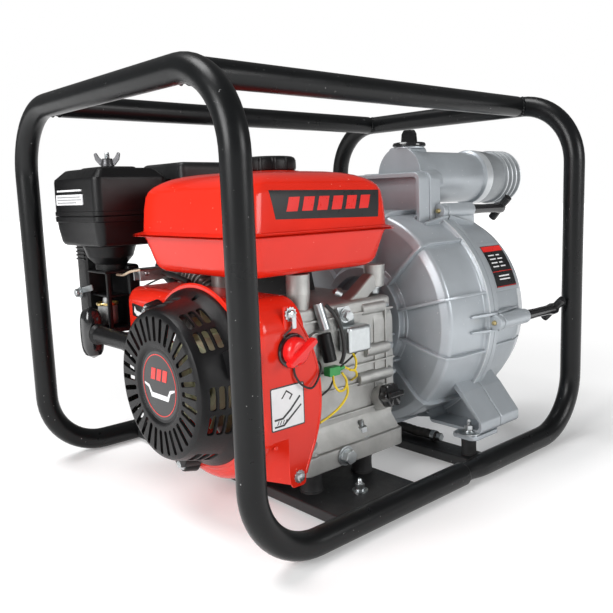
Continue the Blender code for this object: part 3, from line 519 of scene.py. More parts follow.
def apply_boolean(obj, parts, operation):
    tool = blank("tool", parts)
    modifier = obj.modifiers.new("Boolean", "BOOLEAN")
    modifier.operation = operation
    modifier.solver = "EXACT"
    modifier.use_self = True
    modifier.object = tool
    bpy.context.view_layer.update()
    evaluated = obj.evaluated_get(bpy.context.evaluated_depsgraph_get())
    mesh = bpy.data.meshes.new_from_object(evaluated)
    obj.modifiers.clear()
    old = obj.data
    obj.data = mesh
    bpy.data.meshes.remove(old)
    bpy.data.objects.remove(tool)


def carved(parts, *cuts, operation="DIFFERENCE"):
    """One solid of the parts, with each list of cutters taken away (or joined) in turn."""
    obj = blank("carved", parts)
    for cut in cuts:
        apply_boolean(obj, cut, operation)
    bm = bmesh.new()
    bm.from_mesh(obj.data)
    bpy.data.objects.remove(obj)
    return bm


def piece(name, parts, material, body="frame", replaces=None, angle=34.0):
    """A named piece of the visual model, riding on a CAD body and standing for one of its nodes."""
    obj = blank(name, parts)
    obj.data.materials.append(materials[material])
    shade(obj, angle)
    modifier = obj.modifiers.new("Normals", "WEIGHTED_NORMAL")
    modifier.keep_sharp = True
    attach(obj, body)
    if replaces:
        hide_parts(replaces)


# ---- fasteners

def moved(parts, origin, direction):
    """Parts drawn standing on the origin along +Z, put at a place and turned to a direction."""
    place = Matrix.Translation(Vector(origin)) @ turn_to(direction).to_matrix().to_4x4()
    return [grown(part, place) for part in parts]


def hexagon(across, turn=0.0):
    return [(across / math.sqrt(3) * math.cos(TAU * k / 6 + turn),
             across / math.sqrt(3) * math.sin(TAU * k / 6 + turn)) for k in range(6)]


def bolt(origin, direction, across=10.0, head=6.0, washer=9.0, stud=0.0, turn=0.2):
    """Hex head or nut on a flat and a split washer; a stud shows its threads above the nut."""
    parts = [turned([(across * 0.25, 0), (washer, 0), (washer, 1.2), (across * 0.25, 1.2)], ORIGIN, UP, 40,
                    ring=True), rod((0, 0, 1.2), (0, 0, 2.8), across * 0.62, sides=32, round_off=0.4),
             softened(prism(hexagon(across, turn), "Z", 2.8, 2.8 + head), 0.5, 2),
             rod((0, 0, 2.8 + head - 0.4), (0, 0, 3.2 + head), across * 0.47, across * 0.40, 32)]
    if stud:
        radius = across * 0.29
        profile = [(0, 2.0)]
        level = 3.0
        while level < 3.2 + head + stud:
            profile += [(radius, level), (radius * 0.86, level + 0.6)]
            level += 1.2
        profile += [(radius * 0.7, level + 0.4), (0, level + 0.4)]
        parts.append(turned(profile, ORIGIN, UP, 20))
    return moved(parts, origin, direction)


def cross_screw(origin, direction, radius=5.5, washer=8.0):
    """Pan head with a cross recess, on a star washer."""
    dome = [(0, 1.2), (radius, 1.2), (radius, 3.0), (radius * 0.8, 4.3), (radius * 0.4, 4.9),
            (radius * 0.16, 5.0), (radius * 0.16, 3.6), (0, 3.6)]
    teeth = []
    for k in range(48):
        angle = TAU * k / 48
        reach = washer if k % 4 < 2 else washer * 0.86
        teeth.append((reach * math.cos(angle), reach * math.sin(angle)))
    arms = [block((-radius * 0.62, -radius * 0.11, 4.55), (radius * 0.62, radius * 0.11, 5.15), 0.15),
            block((-radius * 0.11, -radius * 0.62, 4.55), (radius * 0.11, radius * 0.62, 5.15), 0.15)]
    return moved([turned(dome, ORIGIN, UP, 40), prism(teeth, "Z", 0, 1.2, 0.2)] + arms, origin, direction)


# ---- carry frame

def hoop_half(plane_x, inward):
    """Rail bend, post and top bend of the near half of a hoop."""
    low = [(plane_x + inward * BEND_LOW * (1 - math.sin(math.radians(a))), -RAIL_Y,
            RAIL_Z + BEND_LOW * (1 - math.cos(math.radians(a)))) for a in range(0, 91, 6)]
    high = [(plane_x, y, z) for y, z in arc((-RAIL_Y + BEND_HIGH, TOP_Z - BEND_HIGH), BEND_HIGH, 180, 90, 15)]
    return low + high


def hoop_points(plane_x, inward, rail):
    half = hoop_half(plane_x, inward)
    near = [(x, -RAIL_Y, RAIL_Z) for x in rail]
    whole = near + half
    return whole + [(x, -y, z) for x, y, z in reversed(whole)]


def bead(path, radius, seed):
    """A weld bead: a lumpy run along a path."""
    count = max(2, int(sum((Vector(b) - Vector(a)).length for a, b in zip(path, path[1:])) / 1.1))
    rng = np.random.default_rng(seed)
    spots = []
    total = len(path) - 1
    for i in range(count + 1):
        t = i / count * total
        k = min(int(t), total - 1)
        spots.append(Vector(path[k]).lerp(Vector(path[k + 1]), t - k))
    radii = [radius * (1 + 0.22 * math.cos(TAU * i / 3.2) + 0.10 * rng.normal()) for i in range(len(spots))]
    return tube(spots, radii, 10)


def build_hoops():
    rail = [SWAGE_X, SWAGE_X - 0.6, SWAGE_X - 1.6, SWAGE_X - 6, SWAGE_X - 60, HOOP_LEFT_X + BEND_LOW + 40]
    points = hoop_points(HOOP_LEFT_X, 1, rail)
    mouth = [TUBE_R - 1.0, TUBE_R - 0.3, TUBE_R]
    left = tube(points, mouth + [TUBE_R] * (len(points) - 2 * len(mouth)) + mouth[::-1], 40)
    piece("left_end_hoop", [left], "satin_black_tube", replaces="frame_left_hoop")
    neck = corners("frame_right_hoop")[0].x
    offsets = (0, 4, 9, 14, 20, 27, 34, 41, 48)
    swell = (0.80, 0.80, 0.80, 0.82, 0.87, 0.93, 0.975, 0.995, 1.0)
    points = hoop_points(HOOP_RIGHT_X, -1, [neck + step for step in offsets])
    flared = [TUBE_R * s for s in swell]
    right = tube(points, flared + [TUBE_R] * (len(points) - 2 * len(swell)) + flared[::-1], 40)
    ring = [tube([(neck - 0.8, y, RAIL_Z), (neck + 0.8, y, RAIL_Z)], TUBE_R * 0.80, 32)
            for y in (-RAIL_Y, RAIL_Y)]
    piece("right_end_hoop", [right] + ring, "satin_black_tube", replaces="frame_right_hoop")


def build_rails():
    for name, y in (("near", -TOP_RAIL_Y), ("far", TOP_RAIL_Y)):
        low, high = corners(f"top_rail_{name}")
        stations = (low.x, low.x + 60, high.x - 60, high.x)
        rail = tube([(x, y, TOP_Z) for x in stations], TUBE_R, 40)
        welds = []
        crown = TUBE_R - 2.4
        for x, toward in ((low.x, HOOP_LEFT_X), (high.x, HOOP_RIGHT_X)):
            saddle = []
            inward = 1 if toward < x else -1
            for k in range(49):
                angle = TAU * k / 48
                side, rise = math.cos(angle) * TUBE_R, math.sin(angle) * TUBE_R
                dip = TUBE_R - math.sqrt(max(0.0, TUBE_R ** 2 - rise ** 2))
                reach = inward * (TUBE_R - dip * 0.86 + 0.5)
                saddle.append((toward + reach, y + side, TOP_Z + max(-crown, min(crown, rise))))
            welds.append(bead(saddle, 1.7, 11))
        piece(f"{name}_top_rail", [rail] + welds, "satin_black_tube", replaces=f"top_rail_{name}")


def folded_sheet(node):
    low, high = corners(node)
    sheet, lip = 3.0, high.z - low.z
    outline = [(low.x, high.z), (low.x, high.z - lip), (low.x + sheet, high.z - lip),
               (low.x + sheet, high.z - sheet), (high.x - sheet, high.z - sheet),
               (high.x - sheet, high.z - lip), (high.x, high.z - lip), (high.x, high.z)]
    return prism(filleted(outline, 2.0, steps=4), "Y", low.y, high.y)


def build_base():
    for node, name in (("base_plate", "engine_plate"), ("pump_cross_bar", "pump_bar")):
        low, high = corners(node)
        welds = []
        for i, y in enumerate((-RAIL_Y + TUBE_R - 1.4, RAIL_Y - TUBE_R + 1.4)):
            welds.append(bead([(low.x + 4, y, high.z - 1.0), (high.x - 4, y, high.z - 1.0)], 2.0, 5 + i))
        piece(name, [folded_sheet(node)] + welds, "satin_black_plate", replaces=node)
    low, high = corners("base_plate")
    studs = bolt((-118, -168, high.z), UP, 9, 5, 8.5, 4) + bolt((-118, 168, high.z), UP, 9, 5, 8.5, 4)
    piece("plate_bolts", studs, "zinc_plate")


def build_buffers():
    """Rubber buffers with their steel end plates, studs and nuts."""
    for number, (x, y) in enumerate(MOUNT_SPOTS, start=1):
        profile = [(0, PLATE_TOP + 0.3), (12.5, PLATE_TOP + 0.3), (12.5, PLATE_TOP + 2.2),
                   (11.9, PLATE_TOP + 2.6), (11.3, PLATE_TOP + 6), (11.1, 27), (11.3, 33),
                   (11.9, ENGINE_BASE - 2.4), (12.5, ENGINE_BASE - 2), (12.5, ENGINE_BASE - 0.3),
                   (0, ENGINE_BASE - 0.3)]
        piece(f"engine_buffer_{number}", [turned(profile, (x, y, 0), UP, 48)], "black_rubber",
              replaces=f"engine_mount_{number}")
        piece(f"engine_nut_{number}", bolt((x, y, FLANGE_TOP), UP, 13, 8, 10.5, 6, 0.1 + 0.3 * number),
              "zinc_plate")
    for name, spot in zip(("near", "far"), FEET):
        profile = [(0, PLATE_TOP + 0.3), (9.5, PLATE_TOP + 0.3), (9.5, PLATE_TOP + 1.6), (9.0, PLATE_TOP + 2.2),
                   (8.8, 27), (9.0, 34.4), (9.5, 35), (9.5, 36.7), (0, 36.7)]
        piece(f"pump_buffer_{name}", [turned(profile, (spot.x, spot.y, 0), UP, 48)], "black_rubber",
              replaces=f"pump_mount_{name}")
        dish = turned([(4, 42.2), (14.5, 42.2), (14.5, 43.6), (4, 44.4)], (spot.x, spot.y, 0), UP, 48,
                      ring=True)
        piece(f"pump_nut_{name}", [dish] + bolt((spot.x, spot.y, 43.2), UP, 10, 6, 8, 5, 0.4), "zinc_plate")


# ---- engine castings

def along_bore(distance, rise=0.0, x=None):
    """Point a distance out from the crank along the cylinder, and a rise square to it."""
    return Vector((BORE_X if x is None else x, CRANK_Y + distance * math.cos(TILT) - rise * math.sin(TILT),
                   CRANK_Z + distance * math.sin(TILT) + rise * math.cos(TILT)))


def tilted(parts):
    """Parts drawn with X across, Y out along the bore and Z square to it, from the crank centre."""
    place = Matrix.Translation(CRANK_AT) @ Matrix.Rotation(TILT, 4, "X")
    return [grown(part, place) for part in parts]


def fin_plates(start, stop, low_x, high_x, half, thick=1.8):
    """Cooling fins square to the bore, 7 mm apart."""
    outline = rounded((low_x, -half), (high_x, half), 12)
    plates = []
    level = start
    while level + thick <= stop:
        plates.append(prism(outline, "Y", level, level + thick, 0.4, 1))
        level += 7.0
    return plates


def build_crankcase():
    low, high = CASE_LOW, CASE_HIGH
    top, near, far = 212.0, -128.0, 22.0
    body = block((low.x, near, 46), (high.x, far, top), 7, 4)
    flange = prism(rounded((low.x + 0.5, low.y), (high.x - 1.5, 46), 7), "Z", ENGINE_BASE, FLANGE_TOP, 2.0, 3)
    skirt = loft([quad(low.x + 3, high.x - 5, near + out, near + 6, z) for out,
                  z in ((-14, FLANGE_TOP - 1), (-2, 72), (1, 84))])
    seams = [block((low.x + 2, near - depth, z), (high.x + 0.4, near + 3, z + 2.4), 0.9)
             for z, depth in ((86, 3.2), (117, 2.6), (138, 4.2), (196, 3.0))]
    upright = [block((x, near - 3.4, 84), (x + 3, near + 2, 200), 1.0) for x in (low.x + 14, high.x - 14)]
    boss = [rod((-140, near + 4, 172), (-140, near - 4, 172), 15, 13.5, 48, 1.0),
            rod((-117, near + 4, 49), (-117, low.y - 0.2, 49), 10, 9.5, 40, 0.6)]
    posts = []
    for x, y in ((-150, -116), (-150, 22), (-80, 22)):
        posts += [rod((x, y, 200), (x, y, 228), 9.5, 12.5, 40),
                  rod((x, y, 226), (x, y, 247.7), 12.5, 12.5, 40, 0.8)]
    arm = loft([[(x - half, -112 - deep, z + rise), (x + half, -112 - deep, z + drop),
                 (x + half, -112 + deep, z + drop), (x - half, -112 + deep, z + rise)] for x, z, half, deep,
                rise, drop in ((-96, 198, 9, 10, 0, 0), (-62, 214, 7, 9, 4, -6), (-34, 232, 7, 8, 6, -6))])
    softened(arm, 3, 3)
    cup = [rod((-30, -112, 222), (-30, -112, 247.7), 11, 12.5, 40, 0.8)]
    barrel = tilted([block((-160, 60, -36), (-70, 130, 36), 6, 3)] + fin_plates(66, 130, -165, -65, 40))
    piece("crankcase_casting", [body, flange, skirt, arm] + seams + upright + boss + posts + cup + barrel,
          "cast_aluminium", replaces="crankcase")
    nuts = bolt((-150, -116, 226), DOWN, 10, 6, 8, 4) + bolt((-30, -112, 222), DOWN, 10, 6, 8, 4)
    piece("tank_post_nuts", nuts, "zinc_plate")
    deflector = prism([(-138, 210), (-40, 210), (-46, 238), (-56, 245), (-138, 245)], "Y", -20, -18.4, 0.5)
    piece("cooling_deflector", [deflector], "satin_black_plate")


def build_side_cover():
    high = corners("crankcase_side_cover")[1]
    plate = prism(rounded((-126, 60), (20, 208), 26, 10), "X", CASE_HIGH.x + 0.3, -44, 1.6, 3)
    rim = prism(rounded((-129.5, 58), (21.5, 210), 28, 10), "X", CASE_HIGH.x + 0.3, -50.5, 1.2, 2)
    dome = turned([(0, -46), (66, -46), (64.5, -36), (62, -30), (60, high.x), (40, high.x), (0, high.x)],
                  CRANK_AT, RIGHT)
    near_bolts = [(-124, 200, -68, -31), (-127, 153, -66, -28), (-127, 122, -78, -24), (-120, 72, -66, -33)]
    other_bolts = [(y, z, -60, -38) for y, z in ((-92, 203), (-40, 204), (8, 198), (14, 120), (-30, 66))]
    barrels, heads = [], []
    for y, z, start, stop in near_bolts + other_bolts:
        barrels.append(rod((start, y, z), (stop, y, z), 7.6, 7.6, 36, 1.2))
        heads += bolt((stop - 0.4, y, z), RIGHT, 9, 5, 6.5)
    neck = [rod(DIPSTICK_MOUTH - DIPSTICK_AXIS * 34, DIPSTICK_MOUTH, 17.5, 13.8, 48, 1.0)]
    ribs = []
    for angle in range(20, 360, 40):
        spin = about_crank(angle)
        ribs.append(grown(block((-46, CRANK_Y + 58, CRANK_Z - 1.6), (-37.6, CRANK_Y + 74, CRANK_Z + 1.6), 0.7),
                          spin))
    piece("side_cover_casting", [plate, rim, dome] + barrels + neck + ribs, "cast_aluminium",
          replaces="crankcase_side_cover")
    piece("side_cover_bolts", heads, "zinc_plate")


def build_head():
    head = tilted([block((-161, 130.3, -37), (-69, 168, 37), 5, 3)] + fin_plates(134, 166, -166, -64, 41, 2.0))
    piece("cylinder_head_casting", head, "cast_aluminium", replaces="cylinder_head")
    low, high = -136.0, -64.0
    rings = []
    for step, inset in ((0, -1.5), (3, -1.5), (3.2, 0), (18, 0.6), (21.6, 2.4), (23.4, 6.5)):
        outline = rounded((low + inset, -34 + inset), (high - inset, 34 - inset), 13 - inset / 2, 8)
        rings.append([(x, 168.3 + step, z) for x, z in outline])
    cover = tilted([loft(rings), block((-112, 189, -24), (-88, 192.4, 24), 1.2)])
    piece("rocker_cover_casting", cover, "rough_aluminium", replaces="rocker_cover")
    bolts = []
    for x, rise in ((-132, -30), (-132, 30), (-68, -30), (-68, 30)):
        direction = (0, math.cos(TILT), math.sin(TILT))
        bolts += bolt(along_bore(171.5, rise, x), direction, 8, 5, 6)
    piece("rocker_bolts", bolts, "zinc_plate")
    out = (0, math.cos(TILT), math.sin(TILT))
    start = along_bore(148, 0, -151)
    boot = [(0, 72), (8, 72), (10.4, 70), (11, 66), (10.2, 62), (10.6, 56), (9.6, 52), (10.2, 46), (9.4, 42),
            (10, 36), (6, 35.6), (6, 54), (0, 54)]
    piece("plug_boot", [turned(boot, start, out, 40)], "black_rubber", replaces="spark_plug_cap")
    plug = [(0, 52), (3, 52), (3, 44), (5.5, 42), (5.3, 38), (5.6, 36), (5.3, 34), (5.5, 28), (9, 27),
            (9, 20.3), (6, 20.3), (6, 2), (0, 2)]
    piece("plug_insulator", [turned(plug, start, out, 40)], "white_ceramic", replaces="spark_plug")
    lead = smooth_path([along_bore(216, 0, -151), along_bore(226, 6, -151), (-160, 150, 246), (-176, 120, 240),
                        (-186, 70, 238), (-184, 40, 232)], 8)
    piece("plug_lead", [tube(lead, 3.4, 16)], "wire_black")


# ---- fan shroud and recoil starter

def shroud_loop(inset, x):
    """Round bottom about the crank, straight near and far sides, flat top."""
    radius = 112.0 - inset
    near, far = SHROUD_LOW.y + inset, SHROUD_HIGH.y - inset
    top = SHROUD_HIGH.z - inset
    start = math.degrees(math.acos(min(1.0, (CRANK_Y - near) / radius)))
    bottom = arc((CRANK_Y, CRANK_Z), radius, 180 + start, 360, 40)
    corner_near, corner_far = 34.0 - inset * 0.6, 16.0 - inset * 0.6
    side = [(far, bottom[-1][1] + 8)]
    far_points = arc((far - corner_far, top - corner_far), corner_far, 0, 90, 10)
    near_points = arc((near + corner_near, top - corner_near), corner_near, 90, 180, 12)
    return [(x, y, z) for y, z in bottom + side + far_points + near_points]


def build_shroud():
    front, back = SHROUD_LOW.x, -173.0
    turn, skin = 16.0, 1.6
    rings, inner = [], []
    for k in range(9):
        angle = math.radians(90 * k / 8)
        inset, step = turn * (1 - math.sin(angle)), turn * (1 - math.cos(angle))
        rings.append(shroud_loop(inset, front + step))
        inner.append(shroud_loop(inset + skin, front + skin + step))
    rings.append(shroud_loop(0, back))
    inner.append(shroud_loop(skin, back + 5))
    mouth = rod((front - 12, CRANK_Y, CRANK_Z), (front + 8, CRANK_Y, CRANK_Z), 82, sides=FINE)
    near = SHROUD_LOW.y
    edge = smooth_path([(-190, 0, 222), (-180, 0, 208), (-166, 0, 184), (-157, 0, 160), (-153, 0, 134),
                        (-154, 0, 108), (-161, 0, 82), (-170, 0, 62), (-176, 0, 48)], 6)
    foot = filleted([(-176, 0, 46), (-178, 0, 36.5), (-195, 0, 36.5), (-198, 0, 50), (-198, 0, 92)], 4,
                    closed=False)
    outline = [(p[0], p[2]) for p in edge] + [(p[0], p[2]) for p in foot[1:]] + [(-198, 222)]
    panel = prism(outline, "Y", near + 0.15, near + skin + 0.4, 0.4, 2)

    def barrel_y(z):
        return CRANK_Y - math.sqrt(112.0 ** 2 - (z - CRANK_Z) ** 2)

    flare = loft([[(-219.5, barrel_y(z) + 0.1, z), (-197, near + 0.2, z), (-188, near + 0.2, z),
                   (-188, barrel_y(z) + 5, z)] for z in (89.7, 88, 85, 81, 76, 70, 64, 58, 52, 46, 41)])
    shell = carved([loft(rings)], [loft(inner)], [mouth])
    lip = [tube([(p[0] - 0.6, near + 0.6, p[2]) for p in edge], 1.5, 12)]
    collar = [turned([(82, front - 1.2), (97, front - 1.0), (98.5, front + 0.3), (82, front + 0.3)], CRANK_AT,
                     RIGHT, FINE, ring=True)]
    piece("red_fan_shroud", [shell, panel, flare] + lip + collar, "red_enamel", replaces="fan_shroud", angle=40)
    screws = cross_screw((-190, near, 214), NEAR, 4.6, 7.5) + cross_screw((-186, near, 47), NEAR, 4.8, 7)
    piece("shroud_screws", screws, "zinc_plate")
    dimple = rod((-214, near + 0.6, 84), (-214, near - 0.5, 84), 2.2, 1.8, 24)
    piece("shroud_dimples", [dimple], "red_enamel")


EAR_ANGLES, EAR_REACH = (19, 139, 259), 97


def ear_place(angle, reach, x):
    """A place on one of the starter cover's mounting ears."""
    turn = math.radians(angle)
    return (x, CRANK_Y - reach * math.cos(turn), CRANK_Z + reach * math.sin(turn))


def build_recoil():
    outside = [(0, 281.6), (30, 281.6), (38, 281.9), (40.5, 283.6), (43, 284), (68, 284), (72, 283.6),
               (75.4, 281.6), (77.2, 278.4), (79.0, 272), (84.6, 250), (87.0, 245.4), (91.0, 241.4),
               (93.2, 238.8), (94, 235.4)]
    inside = [(91, 235.4), (90.4, 238.6), (84.5, 243), (81, 253), (76.2, 271), (73.6, 278), (70.5, 280.4),
              (60, 281), (42, 281), (38, 279.4), (0, 279.4)]
    ears = []
    for angle in EAR_ANGLES:
        for reach, front, size in ((86, -255, 17), (EAR_REACH, -251, 12.5)):
            ears.append(rod(ear_place(angle, reach, front), ear_place(angle, reach, -235.4), size - 3.5, size,
                            40, 1.5))
    housing = carved([turned(outside + inside, CRANK_AT, LEFT, 128)], ears, operation="UNION")
    hollow = turned([(0, 279.4), (38, 279.4), (42, 281), (60, 281), (70.5, 280.4), (73.6, 278), (76.2, 271),
                     (81, 253), (84.5, 243), (84.5, 230), (0, 230)], CRANK_AT, LEFT, 128)
    slots = []
    for index in range(32):
        spin = about_crank(360 * index / 32)
        outline = rounded((-2.6, 45.5), (2.6, 71), 2.4, 5)
        slots.append(grown(prism([(CRANK_Y + a, CRANK_Z + b) for a, b in outline], "X", -290, -276), spin))
    for center in EAR_ANGLES:
        for side in (-1, 1):
            for offset in (20.5, 40.5):
                for column in range(3):
                    low = 249.4 + column * 8.8
                    outline = rounded((-(low + 7.0), -11.5), (-low, 11.5), 2.8, 5)
                    slots.append(grown(prism([(x, CRANK_Y + w) for x, w in outline], "Z", CRANK_Z + 62,
                                             CRANK_Z + 110), about_crank(90 - (center + side * offset))))
    keyhole = [grown(prism([(x, CRANK_Y + w) for x, w in rounded((-249, -3), (-242, 3), 2.5)], "Z",
                           CRANK_Z + 62, CRANK_Z + 110), about_crank(90 - 79))]
    housing = carved([housing], [hollow], slots + keyhole)
    rope_z = middle("starter_rope").z
    rope_x = middle("starter_rope").x
    reach = corners("starter_grip")[0].y - 12
    guide = turned(filleted([(3.4, 0), (12, 0), (10, 30), (10, reach - 6), (12.5, reach - 1), (12.5, reach),
                             (3.4, reach)], 1.2), (rope_x, 8, rope_z), FAR, 48, ring=True)
    brace = loft([[(rope_x + a, y, rope_z - b), (rope_x + c, y, rope_z - b), (rope_x + c, y, rope_z + d),
                   (rope_x + a, y, rope_z + d)] for y, a, b, c, d in ((6, -6, 14, 30, 12), (60, -5, 8, 8, 8))])
    piece("recoil_cover", [housing, guide, softened(brace, 2.5, 3)], "moulded_black", replaces="recoil_housing",
          angle=30)
    screws = []
    for angle in EAR_ANGLES:
        screws += cross_screw(ear_place(angle, EAR_REACH, -251), LEFT, 4.6, 7.2)
    piece("recoil_screws", screws, "zinc_plate")
    label = turned([(0, 282.0), (34.5, 282.0), (35.5, 281.7), (0, 281.7)], CRANK_AT, LEFT, 96)
    piece("recoil_label", [label], "sticker_black")
    ring = turned([(31.2, 282.0), (32.0, 282.0), (32.0, 282.25), (31.2, 282.25)], CRANK_AT, LEFT, 96, ring=True)
    bars = [prism([(CRANK_Y + a + k * 11, CRANK_Z + b) for a, b in ((-14, 5), (-6, 5), (-9, 17), (-17, 17))],
                  "X", -282.3, -282.0) for k in range(3)]
    piece("recoil_label_red", [ring] + bars, "sticker_red")
    sweep = [(CRANK_Y + a, CRANK_Z + b) for a, b in ((-29, 0), (-20, -2), (-15, -9), (15, -9), (20, -2),
                                                     (29, 0), (29, -2), (21, -5), (16, -14), (-16, -14),
                                                     (-21, -5), (-29, -2))]
    piece("recoil_label_white", [prism(sweep, "X", -282.3, -282.0)], "sticker_white")
    build_starter(rope_x, rope_z)


def build_starter(rope_x, rope_z):
    low, high = corners("starter_grip")
    center = (low + high) / 2
    rings = []
    for step in range(15):
        t = -1 + 2 * step / 14
        height = center.z + t * (high.z - low.z) / 2
        full = math.sqrt(max(0.0, 1 - abs(t) ** 6)) * (0.86 + 0.14 * (1 - t * t))
        half_x, half_y = max(0.8, (high.x - low.x) / 2 * full), max(0.8, (high.y - low.y) / 2 * full)
        rings.append([(center.x + half_x * math.copysign(abs(math.cos(a)) ** 0.7, math.cos(a)),
                       center.y + half_y * math.copysign(abs(math.sin(a)) ** 0.7, math.sin(a)), height)
                      for a in (TAU * k / 48 for k in range(48))])
    grip = loft(rings)
    collar = rod((rope_x, low.y - 5, rope_z), (rope_x, low.y + 2, rope_z), 5.5, 8, 32, 1.0)
    piece("pull_grip", [grip, collar], "gloss_black", "starter", replaces="starter_grip")
    start, stop = corners("starter_rope")
    strands = []
    for strand in range(3):
        path = []
        for k in range(120):
            y = start.y + (stop.y - start.y) * k / 119
            angle = TAU * (y / 7.5 + strand / 3)
            path.append((rope_x + 1.05 * math.cos(angle), y, rope_z + 1.05 * math.sin(angle)))
        strands.append(tube(path, 1.15, 8))
    piece("pull_rope", strands, "black_rubber", "starter", replaces="starter_rope")


def build_flywheel():
    disc = turned([(12.8, -180), (76, -180), (78, -182), (78, -186), (46, -190), (40, -206), (34, -210),
                   (12.8, -210)], CRANK_AT, RIGHT, FINE, ring=True)
    cup = turned([(30, -238), (36, -238), (40, -208), (34, -208)], CRANK_AT, RIGHT, 64, ring=True)
    fins = []
    for index in range(20):
        fin = loft([[(x, CRANK_Y + 44 + lean, CRANK_Z - 1.1), (x, CRANK_Y + 44 + lean, CRANK_Z + 1.1),
                     (x, CRANK_Y + 77, CRANK_Z + 9), (x, CRANK_Y + 77, CRANK_Z + 6.8)] for x,
                    lean in ((-184, 0), (-206, 4))])
        fins.append(grown(fin, about_crank(18 * index)))
    screen = []
    for index in range(24):
        screen.append(grown(block((-238.5, CRANK_Y + 30, CRANK_Z - 1.0), (-216, CRANK_Y + 34, CRANK_Z + 1.0)),
                            about_crank(15 * index)))
    piece("fan_wheel", [disc, cup] + fins + screen, "fan_plastic", "crank",
          replaces="flywheel")
    reel = [(0, 279), (38, 279), (40, 277.5), (40, 272.5), (27.5, 271.5), (27.5, 260.5), (40, 259.5), (40, 256),
            (0, 256)]
    spokes = [grown(block((-279.2, CRANK_Y + 8, CRANK_Z - 2), (-278.0, CRANK_Y + 36, CRANK_Z + 2), 0.4),
                    about_crank(45 * k)) for k in range(8)]
    piece("rope_reel", [turned(reel, CRANK_AT, LEFT, 72)] + spokes, "fan_plastic", "reel",
          replaces="recoil_reel")


# ---- fuel, air and exhaust

def build_tank():
    low, high = TANK_LOW, TANK_HIGH
    seam = 291.0
    x0, x1, y0, y1 = low.x + 12, high.x - 12, low.y + 7, high.y - 8
    dome = [(289.8, 0, 22), (291, 0, 22), (296, 0.4, 23), (318, 1.6, 24), (331, 3.2, 25), (337, 5.4, 26),
            (341.5, 8.8, 28), (345.5, 14, 31), (349, 21, 33), (351.6, 30, 34), (353.4, 42, 34), (354.4, 58, 24)]
    upper = [(z, (x0 + i, y0 + i), (x1 - i, y1 - i), r) for z, i, r in dome]
    pan = [(248.0, 30, 14), (248.4, 22, 18), (250.0, 15.5, 22), (253.5, 11, 24), (258.0, 8.6, 24),
           (270, 5.5, 24), (284, 2.4, 23), (288.5, 0.8, 22), (291.2, 0, 22)]
    lower = [(z, (x0 + i, y0 + i), (x1 - i, y1 - i), r) for z, i, r in pan]
    outer = [(z, (low.x + a, low.y + b), (high.x - a, high.y - b), r)
             for z, a, b, r in ((seam - 1.6, 0.3, 0.3, 30), (seam - 1.9, 0.8, 0.8, 29), (seam - 1.6, 2, 2, 28),
                                (seam - 0.2, 7, 5, 26), (seam + 1.5, 6, 4.4, 26), (seam + 0.2, 1, 1, 29))]
    inner = [(z, (x0 + i, y0 + i), (x1 - i, y1 - i), r)
             for z, i, r in ((seam, -1, 23), (seam + 3.2, 0.6, 22), (seam + 2.0, -2.6, 24))]
    brim = outer[:4] + inner + outer[4:]
    lip = level_loft(brim, 12)
    cap = middle("fuel_cap")
    neck = turned([(34, 351.0), (34.5, 354.2), (32, 355.6), (28, 356.2), (22, 356.2), (22, 351.0)],
                  (cap.x, cap.y, 0), UP, 72, ring=True)
    piece("tank_shell", [level_loft(upper, 12), level_loft(lower, 12), lip, neck], "red_enamel",
          replaces="fuel_tank", angle=50)

    def on_face(x, z, out):
        """A point on the tank's near side, which leans in as it rises."""
        inset = np.interp(z, [s[0] for s in dome], [s[1] for s in dome])
        return (x, y0 + inset - out, z)

    def decal(name, outline, out, material):
        bm = bmesh.new()
        bm.faces.new([bm.verts.new(Vector(on_face(x, z, out)) * MM) for x, z in outline])
        for _ in range(3):
            bmesh.ops.subdivide_edges(bm, edges=bm.edges, cuts=1, use_grid_fill=True)
        for vert in bm.verts:
            vert.co = Vector(on_face(vert.co.x / MM, vert.co.z / MM, out)) * MM
        thick = bmesh.ops.extrude_face_region(bm, geom=bm.faces[:])
        for vert in (v for v in thick["geom"] if isinstance(v, bmesh.types.BMVert)):
            vert.co.y += 0.2 * MM
        piece(name, [faced_out(bm)], material)

    decal("tank_decal", [(-202, 334), (-50, 332), (-54, 303), (-197, 306)], 0.25, "sticker_black")
    for index in range(6):
        x = -182 + index * 20
        decal(f"tank_decal_bar_{index + 1}", [(x + 4, 327), (x + 18, 327), (x + 13, 313), (x - 1, 313)], 0.40,
              "sticker_red")
    build_fuel_cap(cap)


def build_fuel_cap(center):
    bm = turned([(0, 372), (22, 372), (25, 371.6), (27.6, 370.2), (29, 367.6), (29.2, 364), (29.2, 359),
                 (28.4, 356.8), (26, 356.4), (17, 356.4), (17, 346), (0, 346)], (center.x, center.y, 0), UP,
                144)
    for vert in bm.verts:
        flat = Vector((vert.co.x / MM - center.x, vert.co.y / MM - center.y))
        if flat.length > 26 and vert.co.z / MM < 369.5:
            angle = math.atan2(flat.y, flat.x)
            groove = max(0.0, math.cos(12 * angle) - 0.55) / 0.45
            shrink = 1 - 0.045 * min(1.0, groove * 1.6)
            vert.co.x = (center.x + flat.x * shrink) * MM
            vert.co.y = (center.y + flat.y * shrink) * MM
    crown = turned([(0, 372.2), (15, 372.2), (16, 371.4), (0, 371.4)], (center.x, center.y, 0), UP, 64)
    piece("tank_cap", [bm, crown], "moulded_black", "fuel_cap_body", replaces="fuel_cap", angle=30)


